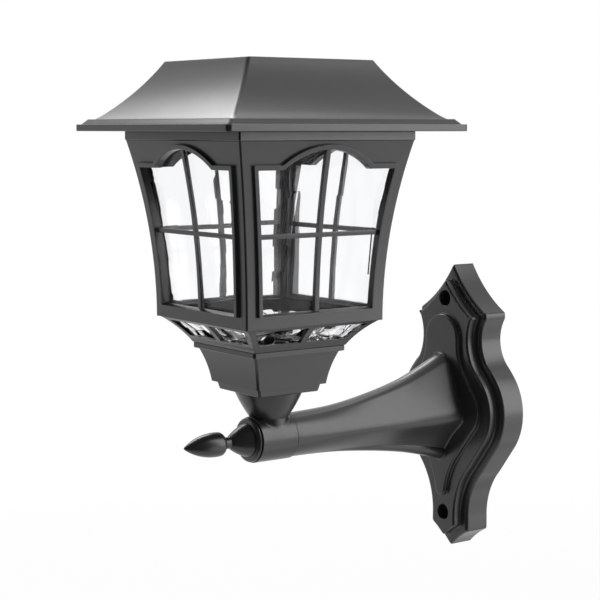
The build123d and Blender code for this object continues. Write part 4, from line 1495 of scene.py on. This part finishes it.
@dataclass
class Bracket:
    """Sleeve, finial and arm."""

    lantern: Lantern
    sleeve_radius: float = 13.5
    sleeve_bore: float = 10.0
    sleeve_edge: float = 0.5
    sleeve_front: float = 3.0
    bore_edge: float = 0.3
    ring_edge: float = 1.9
    groove_edge: float = 0.25
    stud_hole: float = 2.56
    ring_groove: float = 0.6
    ring_foot: float = 11.5
    finial_hole: float = 9.0
    finial_neck: float = 3.5
    bulb_radius: float = 7.0
    bulb_back_sag: float = 0.9
    bulb_sag: float = 2.0
    tip_radius: float = 0.9
    bell_radius: float = 9.9
    bell_length: float = 12.0
    bell_sag: float = 0.5
    waist_length: float = 4.2
    bulb_back: float = 3.4
    bulb_front: float = 22.8
    arm_end_radius: float = 12.8
    spigot_radius: float = 9.95
    spigot_length: float = 5.0
    spigot_edge: float = 0.4
    spigot_taper: float = 0.03
    edge_share: float = 0.004
    root_rise: float = 39.5
    root_drop: float = 28.6
    root_half: float = 22.1
    arm_wall: float = 2.5
    arm_keel_share: float = 2.2
    arm_cap: float = 6.0
    root_cove: float = 1.5
    soft_passes: int = 5
    round_steps: int = 96
    finial_steps: int = 72
    edge_steps: int = 6
    ring_edge_steps: int = 8
    bell_steps: int = 16
    bulb_back_steps: int = 10
    nose_steps: int = 24
    arc_steps: int = 12
    arm_steps: int = 30
    stations: tuple[Station, ...] = (
        Station(0, 0, 0), Station(0.28, 0.065, 0.35), Station(0.515, 0.24, 0.7),
        Station(0.728, 0.48, 0.9), Station(0.875, 0.74, 1), Station(1, 1, 1),
    )

    def sleeve(self) -> bmesh.types.BMesh:
        """Model the sleeve: its bore, its closed front and its rounded shoulder.

        Returns:
            The sleeve.
        """
        low, high = node_box("sleeve")
        back, front = -high.y, -low.y
        radius, bore, hole, wall = self.sleeve_radius, self.sleeve_bore, self.stud_hole, self.sleeve_front
        edge = self.sleeve_edge
        profile = [
            (hole, front), (hole, front - wall), (bore, front - wall), (bore, back + self.bore_edge),
            (bore + self.bore_edge, back), (radius - edge, back), (radius, back + edge),
            *shoulder(radius, front, edge, self.edge_steps), (hole, front),
        ]
        return laid_forward(turned(profile, self.round_steps), self.lantern.arm_z)

    def collar_ring(self) -> bmesh.types.BMesh:
        """Model the stepped ring between the sleeve and the finial.

        Returns:
            The ring.
        """
        low, high = node_box("finial_ring")
        back, front, radius = -high.y, -low.y, high.x
        groove = back + self.ring_groove
        profile = [
            (self.stud_hole, back), (self.ring_foot, back), (self.ring_foot, groove),
            (radius - self.groove_edge, groove), (radius, groove + self.groove_edge),
            *shoulder(radius, front, self.ring_edge, self.ring_edge_steps),
            (self.stud_hole, front), (self.stud_hole, back),
        ]
        return laid_forward(turned(profile, self.round_steps), self.lantern.arm_z)

    def finial(self) -> bmesh.types.BMesh:
        """Model the finial: bell, waist and pointed bulb.

        Returns:
            The finial.
        """
        start = -node_box("finial")[1].y
        bell_end = start + self.bell_length
        waist_end = bell_end + self.waist_length
        middle = waist_end + self.bulb_back
        end = middle + self.bulb_front
        neck = self.finial_neck
        bell = sagged(
            Vector((self.bell_radius, start + 0.3)), Vector((neck + 0.3, bell_end - 0.3)),
            -self.bell_sag, self.bell_steps,
        )
        back = sagged(
            Vector((neck + 0.15, waist_end + 0.1)), Vector((self.bulb_radius, middle)),
            -self.bulb_back_sag, self.bulb_back_steps,
        )
        nose = sagged(
            Vector((self.bulb_radius, middle)), Vector((self.tip_radius, end - 0.5)),
            -self.bulb_sag, self.nose_steps,
        )
        hole = start + self.finial_hole
        profile = [
            (0, hole), (self.stud_hole, hole), (self.stud_hole, start), (self.bell_radius - 0.3, start),
            *bell, (neck, bell_end), (neck - 0.1, bell_end + 0.5), (neck - 0.1, waist_end - 0.2),
            *back, *nose[1:], (self.tip_radius * 0.7, end - 0.15), (0, end),
        ]
        return laid_forward(turned(profile, self.finial_steps), self.lantern.arm_z)

    def _station(self, along: float) -> Station:
        """Interpolate smoothly between the stations.

        Args:
            along: How far along the arm, as a share.

        Returns:
            The station there.
        """
        places = self.stations
        index = max(n for n in range(len(places) - 1) if places[n].along <= along + NO_LENGTH)

        def slope(spot: int, field: str) -> float:
            """Slope of a field at a station."""
            low, high = places[max(spot - 1, 0)], places[min(spot + 1, len(places) - 1)]
            return (getattr(high, field) - getattr(low, field)) / (high.along - low.along)

        low, high = places[index], places[index + 1]
        run = high.along - low.along
        t = (along - low.along) / run
        values = []
        for field in ("grown", "kite"):
            a, b = getattr(low, field), getattr(high, field)
            values.append(
                (2 * t ** 3 - 3 * t ** 2 + 1) * a + (t ** 3 - 2 * t ** 2 + t) * run * slope(index, field)
                + (-2 * t ** 3 + 3 * t ** 2) * b + (t ** 3 - t ** 2) * run * slope(index + 1, field)
            )
        return Station(along, *values)

    def _section(self, station: Station, reach: float, inset: float) -> list[Vector]:
        """Section of the arm.

        Args:
            station: Station that it belongs to.
            reach: Its distance from the wall.
            inset: How far it is drawn in.

        Returns:
            Its points, from the crown's left end over the right and the keel to the left.
        """
        rise, drop, half = (
            self.arm_end_radius + (full - self.arm_end_radius) * station.grown - inset
            for full in (self.root_rise, self.root_drop, self.root_half)
        )
        drop -= max(inset, 0.0) * self.arm_keel_share * station.kite

        def spot(round_share: tuple, kite_share: tuple, height: float) -> Vector:
            """Point of the section's right half, between its round and its kite place."""
            mix = station.kite
            across, up = (a + (b - a) * mix for a, b in zip(round_share, kite_share))
            return Vector((across * half, up * height))

        top = spot((0.407, 0.914), (0.407, 0.83), rise)
        upper = spot((0.773, 0.634), (0.629, 0.502), rise)
        side_high = spot((0.9755, 0.22), (0.89, 0.19), rise)
        side_low = spot((0.9755, 0.22), (0.95, 0.09), -drop)
        lower = spot((0.736, 0.677), (0.545, 0.388), -drop)
        low = spot((0.301, 0.954), (0.22, 0.74), -drop)
        steps = self.arc_steps
        crown = arc(Vector((-top.x, top.y)), Vector((0, rise)), top, steps)
        right = (
            arc(top, upper, side_high, steps)[1:-1]
            + arc(side_high, Vector((half, 0)), side_low, steps)
            + arc(side_low, lower, low, steps)[1:-1]
        )
        right = softened(right, self.soft_passes)
        keel = arc(low, Vector((0, -drop)), Vector((-low.x, low.y)), steps)
        whole = crown + right + keel + mirrored(right)
        return [Vector((point.x, -reach, self.lantern.arm_z + point.y)) for point in whole]

    def arm(self) -> bmesh.types.BMesh:
        """Model the arm: the spigot, the outside to the root, and the hollow back from it.

        Returns:
            The arm.
        """
        _, root = node_box("arm")
        panel = -root.y
        start = -node_box("sleeve")[1].y
        length = start - panel
        edge, cove, axis = self.spigot_edge, self.root_cove, self.lantern.arm_z
        spigot = self.spigot_radius / self.arm_end_radius
        ends = (
            (start + self.spigot_length, spigot - self.spigot_taper),
            (start + self.spigot_length - edge, spigot),
            (start, spigot),
            (start, 1 - edge / self.arm_end_radius),
        )

        def section(along: float, reach: float, inset: float = 0.0) -> list[Vector]:
            """Section of the arm at a share of its length."""
            return self._section(self._station(along), reach, inset)

        shares = [step / self.arm_steps for step in range(1, self.arm_steps)]
        end = section(0, start)
        rings = [
            [Vector((point.x * share, -reach, axis + (point.z - axis) * share)) for point in end]
            for reach, share in ends
        ]
        rings.append(section(self.edge_share, start - edge))
        rings += [section(along, start - along * length) for along in shares]
        for height, out in ((cove, 0.0), (cove * 0.5, 0.12), (cove * 0.2, 0.4), (0.05, 1.0), (0.0, 1.4)):
            rings.append(section(1 - height / length, panel + height, -out))
        rings.append(section(1, panel, self.arm_wall))
        rings += [
            section(along, start - along * length, self.arm_wall)
            for along in reversed(shares) if along * length > self.arm_cap
        ]
        return lofted(rings)

    def build(self, maker: Maker) -> None:
        """Model and dress the bracket's pieces.

        Args:
            maker: Maker of the pieces.
        """
        for name, node, bm in (
            ("round_sleeve", "sleeve", self.sleeve()),
            ("finial_step", "finial_ring", self.collar_ring()),
            ("pointed_finial", "finial", self.finial()),
            ("bracket_arm", "arm", self.arm()),
        ):
            maker.piece(bm, name, Body.FIXTURE, "black_plastic", [node])


@dataclass
class WallPlate:
    """The shaped plate on the wall: slab, raised block and raised panel."""

    half_width: float = 47.7
    rise: float = 89.6
    drop: float = 91.1
    slab: float = 17.2
    block: float = 23.4
    panel: float = 26.4
    block_inset: float = 5.5
    wall: float = 3.0
    panel_half: float = 34.1
    panel_rise: float = 58.6
    panel_drop: float = 57.4
    corner: float = 1.3
    screw_spread: float = 68.35
    screw_hole: float = 2.7
    screw_recess: float = 4.85
    recess_depth: float = 6.0
    recess_chamfer: float = 0.4
    screw_boss: float = 7.0
    boss_sunk: float = 1.0
    cut_before: float = 3.0
    cut_behind: float = 2.0
    screw_steps: int = 40
    corner_steps: int = 4
    arc_steps: int = 12

    def _outline(self) -> tuple[list[Vector], set[int]]:
        """Half outline of the plate, from its top to its foot, and which of its points are corners."""
        return self._chain(
            (self.half_width, self.rise, self.drop),
            (
                ((0, 1), (0.252, 0.829), (0.64, 0.672)), ((0.64, 0.632),),
                ((0.556, 0.476), (0.74, 0.285)), ((0.836, 0.228),),
                ((1, 0.006), (0.836, -0.266)), ((0.577, -0.443),),
                ((0.407, -0.578), (0.336, -0.8)), ((0.336, -0.87),),
                ((0.155, -0.928), (0, -1)),
            ),
        )

    def _panel_outline(self) -> tuple[list[Vector], set[int]]:
        """Half outline of the raised panel, and which of its points are corners."""
        return self._chain(
            (self.panel_half, self.panel_rise, self.panel_drop),
            (
                ((0, 1), (0.311, 0.923), (0.44, 0.718)), ((0.475, 0.555), (0.587, 0.407)),
                ((0.862, 0.192),), ((1, 0.009), (0.9, -0.193)), ((0.446, -0.522),),
                ((0.258, -0.696), (0.138, -0.91)), ((0.1, -0.972), (0, -1)),
            ),
        )

    def _chain(self, sizes: tuple[float, float, float], runs: Sequence) -> tuple[list[Vector], set[int]]:
        """Join arcs and straight runs, given as shares of an outline's sizes.

        Args:
            sizes: Half width, rise and drop.
            runs: Shares of each run's points after its start; the first run has its start too.

        Returns:
            The half outline's points, and the places of its corners.
        """
        half, rise, drop = sizes

        def scaled(share: tuple[float, float]) -> Vector:
            """Point of a share."""
            return Vector((share[0] * half, share[1] * (rise if share[1] > 0 else drop)))

        points = [scaled(runs[0][0])]
        corners = {0}
        for number, run in enumerate(runs):
            spots = [scaled(share) for share in (run[1:] if number == 0 else run)]
            points += arc(points[-1], *spots, self.arc_steps)[1:] if len(spots) == 2 else spots
            corners.add(len(points) - 1)
        return points, corners

    def _ring(self, outline: tuple[list[Vector], set[int]], inset: float, depth: float) -> list[Vector]:
        """Ring along an outline.

        Args:
            outline: Half outline and its corners.
            inset: How far the ring is drawn in.
            depth: How far it stands from the wall.

        Returns:
            The ring's points.
        """
        points, corners = outline
        places = sorted(corners)
        runs = [points[start:end + 1] for start, end in zip(places, places[1:])]
        counts = [len(run) for run in runs]
        drawn = [drawn_in(run, inset) for run in runs]
        ends = [mirrored(run) for run in (drawn[0], drawn[-1])]
        drawn[0] = met(ends[0], drawn[0])[1]
        for number in range(len(drawn) - 1):
            drawn[number], drawn[number + 1] = met(drawn[number], drawn[number + 1])
        drawn[-1] = met(drawn[-1], ends[1])[0]
        half = [Vector((0, drawn[0][0].y))]
        for run, count in zip(drawn, counts, strict=True):
            half += evened(run, count)[1:]
        last = len(half) - 1
        half[last].x = 0
        whole = half + mirrored(half[1:last])
        bends = corners | {2 * last - spot for spot in corners if 0 < spot < last}
        count = len(whole)
        ring = []
        for number, point in enumerate(whole):
            if number in bends:
                after = whole[(number + 1) % count]
                ring += eased(whole[number - 1], point, after, self.corner, self.corner_steps)
            else:
                ring.append(point)
        return [Vector((point.x, -depth, point.y)) for point in ring]

    def slab_and_block(self) -> bmesh.types.BMesh:
        """Model the slab with the raised block, hollow behind.

        Returns:
            Both in one.
        """
        slab, block, inset, wall = self.slab, self.block, self.block_inset, self.wall
        profile = [
            (inset + wall, block - wall), (inset + wall, slab - wall), (wall, slab - wall), (wall, 0.3),
            (wall - 0.3, 0.0), (0.3, 0.0), (0.0, 0.3), (0.0, slab - 1.9), (0.14, slab - 1.17),
            (0.56, slab - 0.56), (1.17, slab - 0.14), (1.9, slab), (inset - 1.3, slab),
            (inset - 0.65, slab + 0.15), (inset - 0.2, slab + 0.55), (inset, slab + 1.3),
            (inset, block - 1.4), (inset + 0.1, block - 0.86), (inset + 0.41, block - 0.41),
            (inset + 0.86, block - 0.1), (inset + 1.4, block),
        ]
        outline = self._outline()
        return lofted(self._ring(outline, *step) for step in profile)

    def raised_panel(self) -> bmesh.types.BMesh:
        """Model the raised panel that carries the arm.

        Returns:
            The panel.
        """
        block, panel = self.block, self.panel
        profile = [
            (1.0, block - 1.0), (-0.9, block - 1.0), (-0.9, block), (-0.4, block + 0.1),
            (-0.1, block + 0.4), (0.0, block + 0.9), (0.0, panel - 1.2), (0.25, panel - 0.5),
            (0.7, panel - 0.12), (1.4, panel),
        ]
        outline = self._panel_outline()
        return lofted(self._ring(outline, *step) for step in profile)

    def screw_bosses(self) -> list[bmesh.types.BMesh]:
        """Model the bosses behind the two screw holes."""
        radius, top = self.screw_boss, self.block - self.boss_sunk
        return self._at_screws([(0, 0), (radius, 0), (radius, top), (0, top)])

    def screw_cutters(self) -> list[bmesh.types.BMesh]:
        """Model what the two screw holes and their recesses take away.

        Returns:
            The two cutters.
        """
        block, hole, recess = self.block, self.screw_hole, self.screw_recess
        floor, mouth = block - self.recess_depth, recess + self.recess_chamfer
        behind, before = -self.cut_behind, block + self.cut_before
        return self._at_screws([
            (0, behind), (hole, behind), (hole, floor), (recess, floor), (recess, block - 0.35),
            (mouth, block + 0.02), (mouth, before), (0, before),
        ])

    def _at_screws(self, profile: Sequence[Sequence[float]]) -> list[bmesh.types.BMesh]:
        """Turnings of a profile on the two wall screws' axes, with their tops to the front."""
        heights = (-self.screw_spread, self.screw_spread)
        return [laid_forward(turned(profile, self.screw_steps), height) for height in heights]

    def build(self, maker: Maker) -> None:
        """Model and dress the plate.

        Args:
            maker: Maker of the piece.
        """
        whole = joined([self.slab_and_block(), self.raised_panel(), *self.screw_bosses()])
        plate = carved(whole, joined(self.screw_cutters()))
        maker.piece(plate, "shaped_wall_plate", Body.FIXTURE, "black_plastic", ["wall_plate"])


@dataclass
class Fittings:
    """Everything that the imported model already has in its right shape."""

    finishes: Finishes

    def dress(self) -> None:
        """Give every CAD node that still shows the finish of its slot."""
        slots = {part["node"]: part["material_slot"] for part in frame["record"]["subparts"]}
        for node, made in frame["nodes"].items():
            slot = "crystal_plastic" if node == "skirt_lens" else slots[node]
            made.data.materials.clear()
            made.data.materials.append(self.finishes.of(slot))
        log.info("dressed %d nodes", len(slots))


@dataclass(frozen=True)
class Lamp:
    """Soft lamp: where it hangs, seen from the lantern, its size in metres and how bright its face is."""

    name: str
    azimuth: float
    elevation: float
    away: float
    width: float
    height: float
    glow: float


@dataclass
class Studio:
    """Floor, lights, background and camera."""

    lantern: Lantern
    camera_spot: tuple[float, float, float] = (0.765764, -0.691378, 0.17449)
    camera_dip: float = 6.06
    camera_turn: float = 54.03
    camera_lens: float = 97.28
    camera_sensor: float = 36.0
    camera_reach: float = 60.0
    soft_white: tuple[float, float, float, float] = (0.55, 0.55, 0.56, 1.0)
    floor_drop: float = 0.6
    floor_half: float = 12.0
    floor_white: float = 0.75
    floor_fade: float = 0.1
    floor_tones: tuple[float, float] = (0.88, 0.92)
    floor_patches: float = 3.0
    hood_span: tuple[float, float] = (-121.5, 12.0)
    hood_profile: tuple[tuple[float, float], ...] = (
        (0.6, -0.59), (1.3, -0.57), (1.5, -0.4), (1.5, 1.3), (1.2, 1.8), (0.0, 2.0),
    )
    hood_steps: int = 32
    lamp_target: float = 0.12
    lamps: tuple[Lamp, ...] = (
        Lamp("left_high", 166, 44, 2.0, 1.0, 0.8, 6.8),
        Lamp("back_high", 118, 58, 2.0, 0.7, 0.5, 2.4),
        Lamp("right_tall", 42, 22, 2.2, 1.1, 2.5, 4.0),
        Lamp("right_side", 62, -13, 2.0, 1.8, 0.55, 0.6),
        Lamp("right_low", 42, -32, 0.9, 1.0, 0.5, 0.7),
    )

    def camera(self) -> None:
        """Set the camera where the photograph was taken from."""
        data = bpy.data.cameras.new("photograph")
        data.lens = self.camera_lens
        data.sensor_width = self.camera_sensor
        data.clip_end = self.camera_reach
        made = bpy.data.objects.new("photograph", data)
        made.location = self.camera_spot
        made.rotation_euler = (math.radians(90 - self.camera_dip), 0.0, math.radians(self.camera_turn))
        bpy.context.scene.collection.objects.link(made)
        bpy.context.scene.camera = made

    def world(self) -> None:
        """White behind everything that the camera, a reflection or a clear part shows, softer as light."""
        world = bpy.data.worlds.new("studio")
        bpy.context.scene.world = world
        world.use_nodes = True
        shader = Shader("studio", world.node_tree)
        colour = shader.blend(shader.seen(), self.soft_white, WHITE)
        background = shader.node("ShaderNodeBackground", inputs={"Color": colour, "Strength": 1.0})
        shader.node("ShaderNodeOutputWorld", inputs={"Surface": background.outputs[0]})

    def floor(self) -> None:
        """Pale floor that fades into the background."""
        bm = bmesh.new()
        bmesh.ops.create_grid(bm, x_segments=8, y_segments=8, size=self.floor_half)
        bmesh.ops.translate(bm, vec=(0, 0, -self.floor_drop), verts=bm.verts)
        made = placed(bm, "floor")
        made.data.materials.append(self._floor_paint())

    def _floor_paint(self) -> bpy.types.Material:
        """Mix a white paint that keeps shadows nearby and fades into the background far away.

        Returns:
            The paint.
        """
        shader = Shader("pale_floor")
        across, along, _ = shader.place()
        away = shader.math("SQRT", across * across + along * along)
        fade = shader.math("MINIMUM", away * self.floor_fade + self.floor_white, 1.0)
        low, high = ((tone, tone, tone, 1.0) for tone in self.floor_tones)
        colour = shader.blend(shader.noise(self.floor_patches), low, high)
        paint = shader.node("ShaderNodeBsdfDiffuse", inputs={"Color": colour})
        glow = shader.node("ShaderNodeEmission", inputs={"Color": WHITE, "Strength": 1.0})
        layers = {0: shader.seen() * fade, 1: paint.outputs[0], 2: glow.outputs[0]}
        mixed = shader.node("ShaderNodeMixShader", inputs=layers)
        shader.node("ShaderNodeOutputMaterial", inputs={"Surface": mixed.outputs[0]})
        return shader.material

    def dark_hood(self) -> None:
        """Black hood round the camera's side, which only reflections see."""
        bm = bmesh.new()
        first, last = (math.radians(angle) for angle in self.hood_span)
        verts = [
            bm.verts.new((radius * math.cos(first), radius * math.sin(first), height))
            for radius, height in self.hood_profile
        ]
        edges = [bm.edges.new(pair) for pair in zip(verts, verts[1:])]
        bmesh.ops.spin(
            bm, geom=verts + edges, cent=(0, 0, 0), axis=(0, 0, 1), angle=last - first,
            steps=self.hood_steps,
        )
        bmesh.ops.translate(bm, vec=self.lantern.axis * MM, verts=bm.verts)
        made = placed(bm, "dark_hood")
        made.visible_camera = False
        made.visible_diffuse = False
        made.visible_shadow = False
        made.visible_transmission = False
        finish = Finish("dark_hood", (0.0, 0.0, 0.0), 1.0, tone_change=0.0, patch_scale=3.0)
        made.data.materials.append(finish.material())

    def lamp(self, light: Lamp) -> None:
        """Hang a soft lamp that looks at the lantern.

        Args:
            light: The lamp's place, size and brightness.
        """
        data = bpy.data.lights.new(light.name, "AREA")
        data.shape = "RECTANGLE"
        data.size, data.size_y = light.width, light.height
        data.energy = light.glow * math.pi * light.width * light.height
        made = bpy.data.objects.new(light.name, data)
        turn, rise = math.radians(light.azimuth), math.radians(light.elevation)
        way = Vector((math.cos(turn) * math.cos(rise), math.sin(turn) * math.cos(rise), math.sin(rise)))
        made.location = Vector((0, self.lantern.axis_y * MM, self.lamp_target)) + way * light.away
        made.rotation_euler = way.to_track_quat("Z", "Y").to_euler()
        bpy.context.scene.collection.objects.link(made)

    def build(self) -> None:
        """Set up the studio."""
        bpy.context.scene.view_settings.view_transform = "Standard"
        self.camera()
        self.world()
        self.floor()
        self.dark_hood()
        for light in self.lamps:
            self.lamp(light)


def main() -> None:
    """Build the lantern's looks and the studio."""
    logging.basicConfig(level=logging.INFO, format="%(message)s")
    lantern = Lantern.measured()
    body = GlazedBody(lantern)
    finishes = Finishes(body)
    maker = Maker(finishes)
    Head(lantern).build(maker)
    body.build(maker)
    Base(lantern).build(maker)
    Bracket(lantern).build(maker)
    WallPlate().build(maker)
    Fittings(finishes).dress()
    Studio(lantern).build()
    log.info("%d pieces in all", maker.count)


if __name__ == "__main__":
    main()
